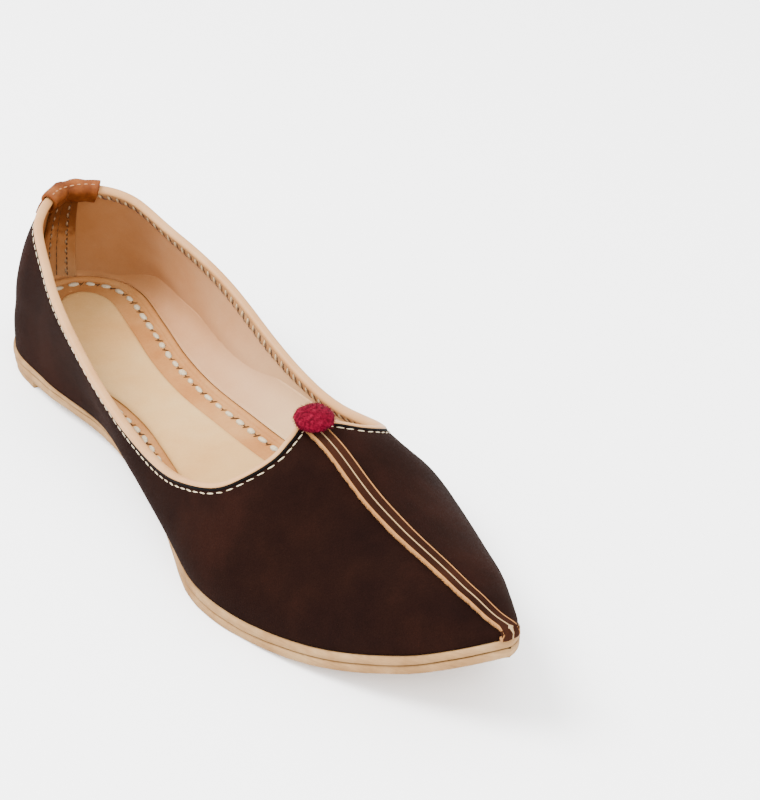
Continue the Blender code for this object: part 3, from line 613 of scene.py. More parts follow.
LINING_FRONT, LINING_HEEL = "#ffd09a", "#cd8a50"
SUEDE = suede_material("buffed_suede", "#1a0b08", "#200f0a", "#28130d")
STRIP_SUEDE = suede_material("strip_suede", "#27130b", "#331a10", "#412316")
# near-black strip under the binding's lip: painted shadow of the lip on the suede
LIP_SHADOW_PAINT = plain_material("painted_lip_shadow", "#0d0705", 0.8)
LINING = lining_material()
SOLE = sole_material()
BINDING = leather_material("binding_kid_leather", ((0.3, "#e3a468"), (0.7, "#efb67b")), 0.48, 0.6, 0.04,
                           (12, 0.2), 0.08)
FACING = leather_material("facing_leather", ((0.3, "#d39a66"), (0.7, "#e0ad7a")), 0.55, 0.7, 0.05, (12, 0.3))
TAB = leather_material(
    "tan_cowhide", ((0.3, "#6a3110"), (0.45, "#844318"), (0.6, "#985322"), (0.75, "#ae6831")), 0.6, 0.9, 0.12,
    (6, 0.5))
STRIP = worn_strip_material()
INSOLE = leather_material("veg_tan_insole", ((0.3, "#cc8345"), (0.5, "#da9656"), (0.72, "#e6a768")), 0.6,
                          0.9, 0.06, (22, 0.3))
SOCK = leather_material("sock_leather", ((0.28, "#eeb06a"), (0.5, "#f9c47e"), (0.72, "#ffd492")), 0.55, 0.8,
                        0.05, (45, 0.2))
CREAM_THREAD = thread_material("cream_cotton_thread", "#f9e8c6", "#e0c495")
FACING_THREAD = thread_material("waxed_cotton_thread", "#f5d9a9", "#dcb07a")
DULL_THREAD = thread_material("soiled_cotton_thread", "#c09c70", "#94704b")
TAB_THREAD = thread_material("orange_cotton_thread", "#d79a5e", "#a8683a")
# dark capsules beside and under the whip stitches: painted shadow of the raised thread
WHIP_SHADOW_PAINT = thread_material("painted_whip_shadow", "#7d5a3c", "#553823")
WOOL = wool_material()
RAW_EDGE = plain_material("raw_leather_edge", "#c58a54", 0.9)
PALE_EDGE = plain_material("pale_leather_edge", "#cda97c", 0.9)
HOLE = plain_material("stitch_hole_shadow", "#6b4a30", 0.95)


# ---- Making pieces ----

def link(name, bm, leathers, replaced=()):
    """Give a finished bmesh its object, materials and body, and hide the solids it replaces."""
    mesh = bpy.data.meshes.new(name)
    bm.to_mesh(mesh)
    bm.free()
    mesh.shade_smooth()
    made = bpy.data.objects.new(name, mesh)
    bpy.context.scene.collection.objects.link(made)
    for leather in leathers:
        mesh.materials.append(leather)
    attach(made, "root")
    if replaced:
        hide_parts(*replaced)
    return made


def mapped_grid(spots, outward=None):
    """Grid whose corner (i, j) lies at spots[i, j], turned to face the outward vector."""
    columns, rows = spots.shape[0] - 1, spots.shape[1] - 1
    bm = bmesh.new()
    bmesh.ops.create_grid(bm, x_segments=columns, y_segments=rows, size=0.5)
    for vert in bm.verts:
        i, j = round((vert.co.x + 0.5) * columns), round((vert.co.y + 0.5) * rows)
        vert.co = spots[i, j]
    if outward is not None:
        bm.normal_update()
        score = sum(face.normal.dot(Vector(outward(face.calc_center_median()))) * face.calc_area()
                    for face in bm.faces)
        if score < 0:
            bmesh.ops.reverse_faces(bm, faces=bm.faces)
    return bm


def mirrored(bm):
    """Add the other half across X = 0 and weld the middle."""
    bmesh.ops.remove_doubles(bm, verts=bm.verts, dist=MERGE)
    both = bmesh.ops.duplicate(bm, geom=bm.verts[:] + bm.edges[:] + bm.faces[:])["geom"]
    other = [item for item in both if isinstance(item, bmesh.types.BMVert)]
    bmesh.ops.scale(bm, verts=other, vec=(-1, 1, 1))
    bmesh.ops.reverse_faces(bm, faces=[item for item in both if isinstance(item, bmesh.types.BMFace)])
    middle = [vert for vert in bm.verts if abs(vert.co.x) < 10 * MERGE]
    bmesh.ops.remove_doubles(bm, verts=middle, dist=10 * MERGE)
    bmesh.ops.dissolve_degenerate(bm, edges=bm.edges, dist=MERGE)
    return bm


def solidified(made, thickness, offset, inside=0, group="", even=True):
    wall = made.modifiers.new("Wall", "SOLIDIFY")
    wall.thickness = thickness
    wall.offset = offset
    wall.use_even_offset = even
    wall.material_offset = inside
    wall.vertex_group = group
    return made


def rounded(made, width):
    edge = made.modifiers.new("Bevel", "BEVEL")
    edge.width = width
    edge.segments = 2
    edge.limit_method = "ANGLE"
    edge.angle_limit = math.radians(40)
    return made


def uneven(along, amount, longest=0.045):
    """Slow random wander along a line, such as a knife or a hand leaves."""
    total = 0 * along
    for k in range(1, 7):
        total += amount / k * np.sin(2 * math.pi * (along * k / longest + random.random()))
    return total / 1.6


def distances(points):
    return np.concatenate([[0], np.cumsum(np.linalg.norm(np.diff(points, axis=0), axis=1))])


def at_distances(points, where):
    along = distances(points)
    return np.stack([np.interp(where, along, points[:, k]) for k in range(points.shape[1])], axis=1)


def laid(name, leather, rings, replaced=(), lopsided=False):
    """Closed piece, the same on both sides, from rings (distance from the back, half width, height)
    that start at its spine underneath and end at its spine on top."""
    spots = np.stack([np.stack([w + 0 * s, SHOE_LENGTH / 2 - s, z + 0 * s], axis=1)
                      for s, w, z in rings], axis=1)
    bm = mirrored(mapped_grid(spots))
    if lopsided:
        to_near_side(bm)
    bmesh.ops.recalc_face_normals(bm, faces=bm.faces)
    return link(name, bm, (leather,), replaced)


# ---- Upper ----

Crease = namedtuple("Crease", "side share angle to_share to_angle width depth")
CREASES = (                # from one place to another on a side; width and depth in millimetres
    Crease(-1, 0.575, 16, 0.665, 40, 6.0, 0.55), Crease(-1, 0.640, 18, 0.720, 52, 8.0, 0.45),
    Crease(1, 0.590, 14, 0.675, 44, 6.5, 0.55), Crease(1, 0.700, 20, 0.745, 58, 9.0, 0.40),
    Crease(-1, 0.300, 10, 0.420, 15, 5.0, 0.45), Crease(1, 0.270, 14, 0.400, 12, 5.5, 0.50),
    Crease(-1, 0.090, 16, 0.200, 20, 6.0, 0.40), Crease(1, 0.110, 22, 0.215, 17, 6.0, 0.40),
    Crease(-1, 0.800, 30, 0.870, 62, 8.0, 0.35), Crease(1, 0.810, 34, 0.860, 66, 8.0, 0.30))


def creased(bm):
    """Press soft troughs with low shoulders into the upper."""
    bm.normal_update()
    points = np.array([vert.co for vert in bm.verts])
    depth = np.zeros(len(points))
    for crease in CREASES:
        ends = np.linspace((crease.share, crease.angle), (crease.to_share, crease.to_angle), 9)
        line = skin(ends[:, 0], ends[:, 1]) * np.array([crease.side, 1, 1])
        gap = np.linalg.norm(points[:, None] - line[None], axis=2)
        u = gap.min(axis=1) / (crease.width / 1000)
        fade = np.sin(math.pi * (0.08 + 0.84 * gap.argmin(axis=1) / 8))
        depth += crease.depth / 1000 * fade * (1 - 0.8 * u * u) * np.exp(-u * u)
    for vert, down in zip(bm.verts, depth):
        vert.co -= vert.normal * down


def upper_shell():
    """Suede outside and lining inside, one wall, open at the collar and underneath."""
    collar, ridge = ribs()
    tops = np.vstack([collar, ridge[1:]])[:, :, None]
    t = np.linspace(0, 1, UPPER_ROWS + 1)
    share = tops[:, 2] + (tops[:, 0] - tops[:, 2]) * t ** RIB_LEAN
    spots = skin(np.minimum(share, 1), np.minimum(tops[:, 1] * t, 90))
    spots[np.abs(spots[..., 0]) < MERGE, 0] = 0
    bm = mirrored(mapped_grid(spots, lambda point: (point.x, point.y * 0.3, point.z - 0.01)))
    creased(bm)
    made = link("suede_upper", bm, (SUEDE, LINING), ("upper",))
    group = made.vertex_groups.new(name="wall")
    for vert in made.data.vertices:
        room = float(rise_at((SHOE_LENGTH / 2 - vert.co.y) / SHOE_LENGTH)) / (TOE_ROOM * UPPER_WALL)
        group.add([vert.index], min(max(room, THINNEST), 1), "REPLACE")
    return solidified(made, UPPER_WALL, -1, 1, group.name)


def sweep(frames, profile):
    """Bmesh of a closed profile swept along the top line, on both sides."""
    closed = tuple(profile) + tuple(profile[:1])
    bm = mirrored(mapped_grid(np.stack([at_edge(frames, out, lift) for out, lift in closed], axis=1)))
    bmesh.ops.recalc_face_normals(bm, faces=bm.faces)
    return bm


def topline_roll():
    """Soft binding leather rolled over the cut edge, the facing it covers inside, and outside a near-black
    strip under its lip: painted shadow where the lip shades the suede."""
    inner = -UPPER_WALL - ROLL_INSIDE
    middle, half = (ROLL_OUTSIDE + inner) / 2, (ROLL_OUTSIDE - inner) / 2
    dome = [(middle + half * math.cos(turn), ROLL_CROWN * math.sin(turn) ** 0.9)
            for turn in np.linspace(0.18, math.pi - 0.18, 9)]
    profile = [(0.0001, ROLL_CROWN / 3), (0.0001, -ROLL_LIP * 0.9), (ROLL_OUTSIDE * 0.7, -ROLL_LIP * 1.05),
               (ROLL_OUTSIDE, -ROLL_LIP * 0.7), (ROLL_OUTSIDE, -ROLL_LIP * 0.2)]
    profile += dome
    profile += [(inner, -ROLL_LIP * 0.3), (inner, -ROLL_LIP * 0.9), (inner * 0.9, -ROLL_LIP * 1.2),
                (-UPPER_WALL - 0.0001, -ROLL_LIP), (-UPPER_WALL - 0.0001, ROLL_CROWN / 3)]
    link("binding", sweep(collar_frames(), profile), (BINDING,), ("topline_binding",))
    face = -UPPER_WALL - 0.0004
    facing = ((-UPPER_WALL - 0.0001, 0.0), (face, -0.0001), (face, -FACING_DEPTH * 0.5),
              (face, -FACING_DEPTH * 0.95),
              (-UPPER_WALL - 0.0002, -FACING_DEPTH), (-UPPER_WALL - 0.0001, -FACING_DEPTH * 0.95),
              (-UPPER_WALL - 0.0001, -FACING_DEPTH * 0.5))
    link("facing", sweep(collar_frames(), facing), (FACING,))
    # painted shadow: a near-black strip on the suede just under the binding's lip
    edge = -ROLL_LIP
    shadow = ((0.00005, edge + 0.0003), (0.00045, edge + 0.0002), (0.00050, edge - 0.0003),
              (0.00030, edge - LIP_SHADOW_WIDTH), (0.00005, edge - LIP_SHADOW_WIDTH - 0.0001))
    link("painted_lip_shadow_strip", sweep(collar_frames(), shadow), (LIP_SHADOW_PAINT,))


def spaced(step, start, shift=0.0):
    """Frames at even distances along the top line, from a start beside the middle of the heel."""
    frames = collar_frames()
    along = distances(frames.point)
    where = np.arange(start, along[-1], step) + shift
    point, normal, up = (np.stack([np.interp(where, along, values[:, k]) for k in range(3)], axis=1)
                         for values in (frames.point, frames.normal, frames.up))
    return Frames(np.interp(where, along, frames.share), np.interp(where, along, frames.angle), point,
                  unit(normal), unit(up))


def below_edge(frames, depth):
    return walked(frames.share, frames.angle, -frames.up, depth)


def capsule(bm, length, radius, matrix, flat=1.0):
    """Short rounded thread laid along the matrix's X axis, its Z axis outward."""
    made = bmesh.ops.create_uvsphere(bm, u_segments=6, v_segments=5, radius=1)
    stand = Matrix.Rotation(math.radians(90), 4, "Y")
    size = Matrix.Diagonal((length / 2, radius, radius * flat, 1))
    bmesh.ops.transform(bm, verts=made["verts"], matrix=matrix @ size @ stand)


def standing(point, along, out):
    """Matrix with X along and Z outward, at a point."""
    x = Vector(along).normalized()
    z = Vector(out)
    z = (z - x * z.dot(x)).normalized()
    return Matrix.Translation(Vector(point)) @ Matrix((x, z.cross(x), z)).transposed().to_4x4()


def stitch_row(name, points, directions, normals, size, thread, slot, jitter=0.06, flat=0.8, sides=(1, -1),
               slant=0.0):
    """Row of single stitches of a size (length, radius), each a little uneven, on one or both sides."""
    bm = bmesh.new()
    for side in sides:
        mirror = np.array([side, 1, 1])
        for point, along, out in zip(points, directions, normals):
            turn = Matrix.Rotation(side * slant + random.uniform(-jitter, jitter), 4, "Z")
            capsule(bm, size[0] * (1 + random.uniform(-jitter, jitter)),
                    size[1] * (1 + random.uniform(-jitter, jitter)),
                    standing(point * mirror, along * mirror, out * mirror) @ turn, flat)
    return link(name, bm, (thread,))


def topline_stitches():
    """Cream running stitches on the suede, just under the binding."""
    places = below_edge(spaced(TOPLINE_PITCH, STITCH_START), ROLL_LIP + TOPLINE_INSET)
    points = off_skin(places, 0.0001)
    stitch_row("topline_stitches", points, np.gradient(points, axis=0), skin_normal(*places),
               (TOPLINE_STITCH, 0.00025), CREAM_THREAD, "binding_leather", slant=0.08)


def whip_stitches():
    """Stitches across the facing's lower edge on the lining, each with a dark bar beside it and a dark
    hook at its foot, painted shadow of the raised thread.
    """
    def bars(shift, top, foot):
        frames = spaced(WHIP_PITCH, STITCH_START, shift)
        high = off_skin(below_edge(frames, top), -UPPER_WALL - 0.0005)
        low = off_skin(below_edge(frames, foot), -UPPER_WALL - 0.0004)
        return (high + low) / 2, low - high, -skin_normal(frames.share, frames.angle)

    stitch_row("whip_stitches_light", *bars(0, ROLL_LIP + 0.0006, ROLL_LIP + 0.0034),
               (WHIP_LENGTH, 0.00055), FACING_THREAD, "binding_leather", 0.1, slant=0.2)
    # dark bar beside each stitch: painted shadow
    stitch_row("whip_stitch_painted_shadows", *bars(WHIP_PITCH * 0.27, ROLL_LIP + 0.0008, ROLL_LIP + 0.0036),
               (WHIP_LENGTH * 0.95, 0.00034), WHIP_SHADOW_PAINT, "tab_leather", 0.14, slant=0.2)
    # dark hook at each stitch's foot: painted shadow
    feet = spaced(WHIP_PITCH, STITCH_START, WHIP_PITCH * 0.5)
    hooks = off_skin(below_edge(feet, ROLL_LIP + 0.0035), -UPPER_WALL - 0.0004)
    stitch_row("whip_hook_painted_shadows", hooks, np.gradient(hooks, axis=0), -skin_normal(feet.share, feet.angle),
               (0.0016, 0.00026), WHIP_SHADOW_PAINT, "tab_leather", 0.3)


# ---- Sole and inside ----

def sole_layer(name, bottom, top, replaced, end=1.0, ledge=SOLE_LEDGE):
    """Layer with a knife-cut edge that wanders a little, its corners worn round."""
    shares = end * (1 - np.cos(np.linspace(0, math.pi, SOLE_COLUMNS + 1))) / 2
    s, _ = OUTLINE.at(shares)
    edge = ledge - tuck_at(s) + uneven(s, SOLE_WANDER)

    def rim(inset):
        s, w = OUTLINE.at(shares, edge - inset)
        return (np.append(s, s[-1]), np.append(w, 0)) if end < 1 else (s, w)

    outer, soft = rim(0.0), rim(SOLE_ROUNDING)
    rings = ((outer[0], 0, bottom(outer[0])), (*soft, bottom(soft[0])),
             (*outer, bottom(outer[0]) + SOLE_ROUNDING), (*outer, top(outer[0]) - SOLE_ROUNDING),
             (*soft, top(soft[0])), (outer[0], 0, top(outer[0])))
    return laid(name, SOLE, rings, (replaced,))


def sole():
    sole_layer("outsole_layer", underside, lambda s: underside(s) + OUTSOLE_THICKNESS, "outsole")
    sole_layer("midsole_layer", lambda s: underside(s) + OUTSOLE_THICKNESS + GAP,
               lambda s: feather_height(s) - GAP, "midsole")
    sole_layer("heel_layer", lambda s: 0 * s, lambda s: 0 * s + HEEL_LIFT - GAP, "heel_lift",
               OUTLINE.share_at(HEEL_LIFT_LENGTH), SOLE_LEDGE - HEEL_INSET)


def seat_height(s):
    """Height of the insole's flat top above the feather line, built up under the heel."""
    t = np.clip((s - SEAT_START) / (SEAT_END - SEAT_START), 0, 1)
    return GAP + INSOLE_THICKNESS + HEEL_SEAT * (1 - t * t * (3 - 2 * t))


def insole_top(s, lift=0.0):
    return feather_height(s) + seat_height(s) + lift


def cord_line(depth, count):
    """Curve inside the outer foot of the insole's cord by a depth."""
    return INSOLE_LINE.inset(depth + GAP, INSOLE_TIP - depth, max(TIP_ROUNDING, 2 * depth), count)


def to_near_side(bm):
    """Move the half at -X as the photographed insole lies: its sock reaches close to the near wall."""
    for vert in bm.verts:
        if vert.co.x < -MERGE:
            vert.co.x = -float(near_half(-vert.co.x, SHOE_LENGTH / 2 - vert.co.y))
    return bm


def near_half(x, s):
    """Half width on the near side for a half width on the far side, s from the back."""
    wall = np.interp(s, OUTLINE.points[:, 0], OUTLINE.points[:, 1]) - tuck_at(s) - UPPER_WALL - INSOLE_FIT
    cord = np.interp(s, INSOLE_LINE.points[:, 0], INSOLE_LINE.points[:, 1])
    blend = eased(s / SHOE_LENGTH, LOPSIDED, "amount")
    far = (0.0, max(cord - RAND_WIDTH - BAND_WIDTH, 0.001), max(cord - RAND_WIDTH, 0.002), max(cord, 0.003),
           max(wall, 0.004))
    near = (0.0, wall - 0.0062, wall - 0.0034, wall - 0.0014, wall)
    if x > far[-1] or wall < 0.010:
        return x
    return x * (1 - blend) + blend * np.interp(x, far, near)


def insole_board():
    """Insole with a rounded cord round its sewn band."""
    shares = OUTLINE.share_at(INSOLE_END) * (1 - np.cos(np.linspace(0, math.pi, SOLE_COLUMNS + 1))) / 2
    s, _ = OUTLINE.at(shares)
    inset = tuck_at(s) + UPPER_WALL + INSOLE_FIT
    lean = INSOLE_FIT * (seat_height(s) - seat_height(SHOE_LENGTH)) / HEEL_SEAT

    def rim(depth):
        s, w = OUTLINE.at(shares, -depth)
        return np.append(s, s[-1]), np.append(w, 0)

    low, high = rim(inset), rim(inset + lean)
    rings = [(low[0], 0, feather_height(low[0]) + GAP), (*low, feather_height(low[0]) + GAP),
             (*high, insole_top(high[0]))]
    for across, lift in ((0, 0), (0.06, 0.45), (0.22, 0.86), (0.45, 1), (0.68, 0.84), (0.88, 0.4), (1, -0.12),
                         (1.25, 0.0), (1.7, 0.06), (2.6, 0.06), (3.4, 0.0)):
        s, w = cord_line(across * RAND_WIDTH, SOLE_COLUMNS + 1)
        rings.append((s, w, insole_top(s, lift * RAND_HEIGHT + uneven(s, 0.00006, 0.02))))
    s = rings[-1][0]
    rings.append((s, 0, insole_top(s)))
    return laid("insole_board", INSOLE, rings, ("insole",), True)


def sock_pad():
    """Soft pad glued in the middle of the insole, its edge pressed down."""
    rings = []
    for across, lift in ((0, 0), (0, 0.35), (0.0004, 0.75), (0.0010, 0.97), (0.0018, 1.0), (0.0027, 0.96)):
        s, w = cord_line(RAND_WIDTH + BAND_WIDTH + across, SOLE_COLUMNS)
        rings.append((s, w, insole_top(s, GAP + lift * SOCK_THICKNESS)))
    first, last = rings[0][0], rings[-1][0]
    rings.insert(0, (first, 0, insole_top(first, GAP)))
    rings.append((last, 0, insole_top(last, GAP + 0.95 * SOCK_THICKNESS)))
    return laid("sock_pad", SOCK, rings, ("sock",), True)


def lining_margin():
    """Lining turned over the insole's edge: a soft cove from the wall down to the cord."""
    s, w = cord_line(-0.0002, SOLE_COLUMNS)
    kept = s < MARGIN_END
    s, w = s[kept], w[kept]
    cord = np.stack([w, SHOE_LENGTH / 2 - s, insole_top(s, 2 * GAP)], axis=1)
    share = MARGIN_PACE * np.interp(s, INSOLE_LINE.points[:, 0], INSOLE_LINE.share)
    angles = np.linspace(0, 45, 91)
    walls = off_skin((share[:, None], angles), -UPPER_WALL + 0.0001)
    spots = []
    wrinkle = uneven(distances(cord), 0.0004, 0.014) + uneven(distances(cord), 0.0003, 0.007)
    for column, foot, lift in zip(walls, cord, wrinkle):
        level = foot[2]
        width = abs(np.interp(level, column[:, 2], column[:, 0]) - foot[0]) + 0.002
        height = level + min(width, COVE_HEIGHT)
        wall = np.array([np.interp(height, column[:, 2], column[:, k]) for k in range(3)])
        base = wall + (foot - wall) * 0.15
        base[2] = level
        t = np.linspace(0, 1, 15)[:, None]
        row = wall * (1 - t) ** 2 + base * 2 * t * (1 - t) + foot * t * t
        row[:, 2] += lift * (np.sin(math.pi * t[:, 0]) * t[:, 0]) ** 2
        spots.append(row)
    spots = np.array(spots)
    spots[0, :, 0] = 0
    bm = to_near_side(mirrored(mapped_grid(spots, lambda point: (0, 0, 1))))
    return solidified(link("lining_margin", bm, (LINING,)), 0.00025, -1)


def insole_stitches():
    """Waxed stitches in the band, each between the small dark slots it goes down through."""
    s, w = cord_line(RAND_WIDTH / 2 + STITCH_LINE, 400)
    far = np.stack([w, SHOE_LENGTH / 2 - s, insole_top(s, 0.0001)], axis=1)
    near = far.copy()
    near[:, 0] = [-near_half(x, at) for x, at in zip(w, s)]
    for side, line in (("far", far), ("near", near)):
        where = np.arange(INSOLE_PITCH / 2, distances(line)[-1] - 0.006, INSOLE_PITCH)

        def row(shift):
            points = at_distances(line, where + shift)
            ahead = at_distances(line, where + shift + 0.001) - points
            return points, ahead, np.tile([0.0, 0.0, 1.0], (len(where), 1))

        for name, shift, size, thread, flat, slant in (
                ("stitches", 0, (INSOLE_STITCH, 0.0012), CREAM_THREAD, 0.7, 0.0),
                ("slots", INSOLE_PITCH / 2, (0.0028, 0.00036), HOLE, 0.7, 1.15),
                ("slot_ends", INSOLE_PITCH * 0.37, (0.0014, 0.00034), HOLE, 0.7, 0.0)):
            stitch_row("insole_%s_%s" % (name, side), *row(shift), size, thread, "veg_tan_leather",
                       0.2, flat, (1,), slant)


# ---- Trim ----

def heel_tab():
    """Tan leather folded over the back of the collar, stitched along its top."""
    frames = collar_frames()
    count = int(np.argmax(frames.point[:, 0] > TAB_HALF_WIDTH))
    t = ((TAB_HALF_WIDTH - frames.point[count - 1, 0])
         / (frames.point[count, 0] - frames.point[count - 1, 0]))
    cut = Frames(*(np.concatenate([v[:count], v[count - 1:count] * (1 - t) + v[count:count + 1] * t])
                   for v in frames))
    straight = cut._replace(up=unit(cut.up * np.array([0, 1, 1])))
    outer = ROLL_OUTSIDE + GAP
    inner = -UPPER_WALL - ROLL_INSIDE - GAP
    top = ROLL_CROWN + GAP
    step = ROLL_LIP + 2 * GAP
    profile = (
        (GAP, -TAB_OUTSIDE), (GAP, -(step + TAB_OUTSIDE) / 2), (GAP, -step - GAP), (outer * 0.8, -step * 0.8),
        (outer, -ROLL_LIP / 2), (outer, GAP), (outer * 0.8, top * 0.8), (0, top + GAP * 0.8),
        (-UPPER_WALL / 2, top + GAP), (-UPPER_WALL, top + GAP * 0.8), (inner + outer / 4, top * 0.8),
        (inner, GAP), (inner, -TAB_INSIDE / 3), (inner, -TAB_INSIDE * 2 / 3), (inner, -TAB_INSIDE))
    spots = np.stack([at_edge(straight, *corner) for corner in profile], axis=1)
    across = spots[:, :, 0]
    folds = (0.0006 * np.exp(-(across / 0.0011) ** 2) - 0.0003 * np.exp(-((across - 0.0032) / 0.0016) ** 2)
             + 0.0003 * np.exp(-((across - 0.0068) / 0.0014) ** 2))
    folds[:, :6] *= 0.3
    inside = np.where(np.arange(len(profile)) > 8, -1, 1)
    spots -= straight.normal[:, None] * (folds * inside)[..., None]
    bm = mirrored(mapped_grid(spots, lambda point: (point.x, 0.02 if point.y > 0.1205 else -0.02, 0.03)))
    made = link("heel_tab_leather", bm, (TAB,), ("heel_tab",))
    rounded(solidified(made, TAB_THICKNESS, 1), 0.00035)
    row = at_edge(straight, -UPPER_WALL * 0.6, top + GAP + TAB_THICKNESS + 0.00005)
    where = np.arange(TAB_PITCH / 2, distances(row)[-1] - TAB_PITCH / 2, TAB_PITCH)
    points = at_distances(row, where)
    stitch_row("tab_stitches", points, np.gradient(points, axis=0), np.tile([0.0, 0.0, 1.0], (len(where), 1)),
               (TAB_PITCH * 0.7, 0.00032), TAB_THREAD, "tab_leather", 0.15)


def back_strip():
    """Strip over the lining's seam: two halves that meet in a sewn groove, a row of stitches beside it."""
    back = collar_frames()
    _, high = walked(back.share[0], back.angle[0], -back.up[0], TAB_INSIDE + 2 * GAP)
    foot = seat_height(0.0) + 2 * GAP
    low = math.degrees(math.asin((foot / BACK_RISE) ** (1 / SECTIONS[0].climb)))
    shares = np.linspace(0, OUTLINE.share_at(HEEL_CENTRE), SAMPLES)
    reach = off_skin((shares, (low + high) / 2), -UPPER_WALL)[:, 0]

    def place(across, angle):
        return np.broadcast_arrays(np.interp(across, reach, shares), np.asarray(angle, float))

    across = np.linspace(0, 1, 19)[:, None] ** 1.3 * BACK_STRIP_WIDTH / 2
    angles = np.linspace(low, float(high), 31)[None, :]
    dip = 2 * GAP * np.exp(-(across / 0.0005) ** 2)
    spots = off_skin(place(across, angles), -UPPER_WALL - 2 * GAP + dip)
    spots[0, :, 0] = 0
    bm = mirrored(mapped_grid(spots, lambda point: (0, -1, 0)))
    made = link("back_seam_strip", bm, (STRIP,), ("back_strip",))
    rounded(solidified(made, BACK_STRIP_THICKNESS, 1), 0.00025)

    def row(name, across, size, pitch, thread, sides):
        line = off_skin(place(across, np.linspace(low + 1, float(high) - 1, 60)),
                        -UPPER_WALL - 2 * GAP - BACK_STRIP_THICKNESS + (across == 0) * GAP * 1.6)
        where = np.arange(pitch / 2, distances(line)[-1], pitch)
        points = at_distances(line, where)
        stitch_row(name, points, np.gradient(points, axis=0), np.tile([0.0, -1.0, 0.3], (len(where), 1)), size,
                   thread, "tab_leather", 0.12, sides=sides)

    # dark row along the groove between the halves: painted shade of the groove
    row("back_seam", 0.0, (0.0036, 0.00045), 0.0030, HOLE, (1,))
    row("back_strip_stitches", BACK_STRIP_WIDTH * 0.27, (0.0022, 0.00045), 0.0046, DULL_THREAD, (1, -1))
    row("back_strip_slots", BACK_STRIP_WIDTH * 0.30, (0.0016, 0.00034), 0.00231, HOLE, (1, -1))


def ridge_shares(count):
    """Shares along the ridge from under the button to the toe tip, then the rows down its front."""
    start, _ = walked(COLLAR[-1].share, 90.0, np.array([0, -1, 0]), SEAM_START * 0.7)
    along = np.linspace(float(start), OUTLINE.share_at(SHOE_LENGTH - SEAM_TIP), count)
    return np.append(along, 1 + np.linspace(0, 1, 8)[1:])


def beside_ridge(shares, reach, lift):
    """Points at a distance to the side of the ridge, lifted off the suede."""
    reach = reach + 0 * shares
    share, angle = walked(np.minimum(shares, OUTLINE.share_at(SHOE_LENGTH - SEAM_TIP)), 90.0,
                          np.array([1, 0, 0]), reach)
    down = np.clip(shares - 1, 0, 1)
    foot = 1 - reach / OUTLINE_LENGTH
    back = np.minimum(3 * down, 1)
    return off_skin((share + (foot - share) * back, angle + (SEAM_FOOT - angle) * down), lift + 0 * shares)


def seam_piece(name, side, leather, shares, profile, thickness, replaced=()):
    """Piece along one side of the seam from a profile of (reach, lift)."""
    spots = np.stack([beside_ridge(shares, reach, lift) for reach, lift in profile], axis=1)
    spots[..., 0] *= side
    bm = mapped_grid(spots, lambda point: (0, 0, 1))
    made = link(name, bm, (leather,), replaced)
    return solidified(made, thickness, 1 if replaced else -1, even=bool(replaced))


def seam():
    """Two strips down the vamp, their cut edges pale, with an open line between them."""
    shares = ridge_shares(110)
    top = 2 * GAP + SEAM_STRIP_THICKNESS
    inner, outer = SEAM_GROOVE / 2, SEAM_GROOVE / 2 + SEAM_STRIP_WIDTH
    flat = 0 * shares
    for name, side, node_name, edge, fray in (("left", 1, "seam_strip_left", FAR_EDGE, 0.00007),
                                              ("right", -1, "seam_strip_right", NEAR_EDGE, 0.00020)):
        profile = [(inner + flat + SEAM_STRIP_WIDTH * k / 5, 2 * GAP + 0.0002 * math.sin(math.pi * k / 5))
                   for k in range(6)]
        made = seam_piece("vamp_strip_" + name, side, STRIP_SUEDE, shares, profile,
                          SEAM_STRIP_THICKNESS * 0.85, (node_name,))
        rounded(made, 0.0003)
        rough = np.array([random.uniform(-0.4, 1) for _ in shares]) * fray
        cut = [(outer + flat - 0.00015, top - 0.0001), (outer + flat + edge * 0.2, top + 0.0001),
               (outer + edge * 0.7 + rough * 0.6, top - 0.0001), (outer + edge + rough, top * 0.45),
               (outer + edge + rough, GAP * 0.5)]
        seam_piece("cut_edge_" + name, side, RAW_EDGE, shares, cut, 0.00025)
    line = [(flat, top + 0.00005), (flat + 0.00014, top), (flat + 0.00022, top - 0.0002)]
    spots = np.stack([beside_ridge(shares, reach, lift) for reach, lift in line], axis=1)
    spots[:, 0, 0] = 0
    bm = mirrored(mapped_grid(spots, lambda point: (0, 0, 1)))
    solidified(link("seam_line", bm, (PALE_EDGE,)), 0.0003, -1)
    frayed_ends(shares, outer + NEAR_EDGE, top)


def frayed_ends(shares, reach, lift):
    """Loose fibres of raw leather along the near strip's cut edge."""
    bm = bmesh.new()
    spread = np.array([random.uniform(shares[0], shares[shares < 1][-1]) for _ in range(90)])
    points = beside_ridge(spread, reach, lift * 0.6) * np.array([-1, 1, 1])
    for point in points:
        lean = Vector((-1, random.uniform(-1.2, 1.2), random.uniform(-0.2, 0.5)))
        capsule(bm, random.uniform(0.0004, 0.0013), 0.00013, standing(point, lean, (0, 0, 1)))
    return link("frayed_ends", bm, (RAW_EDGE,))


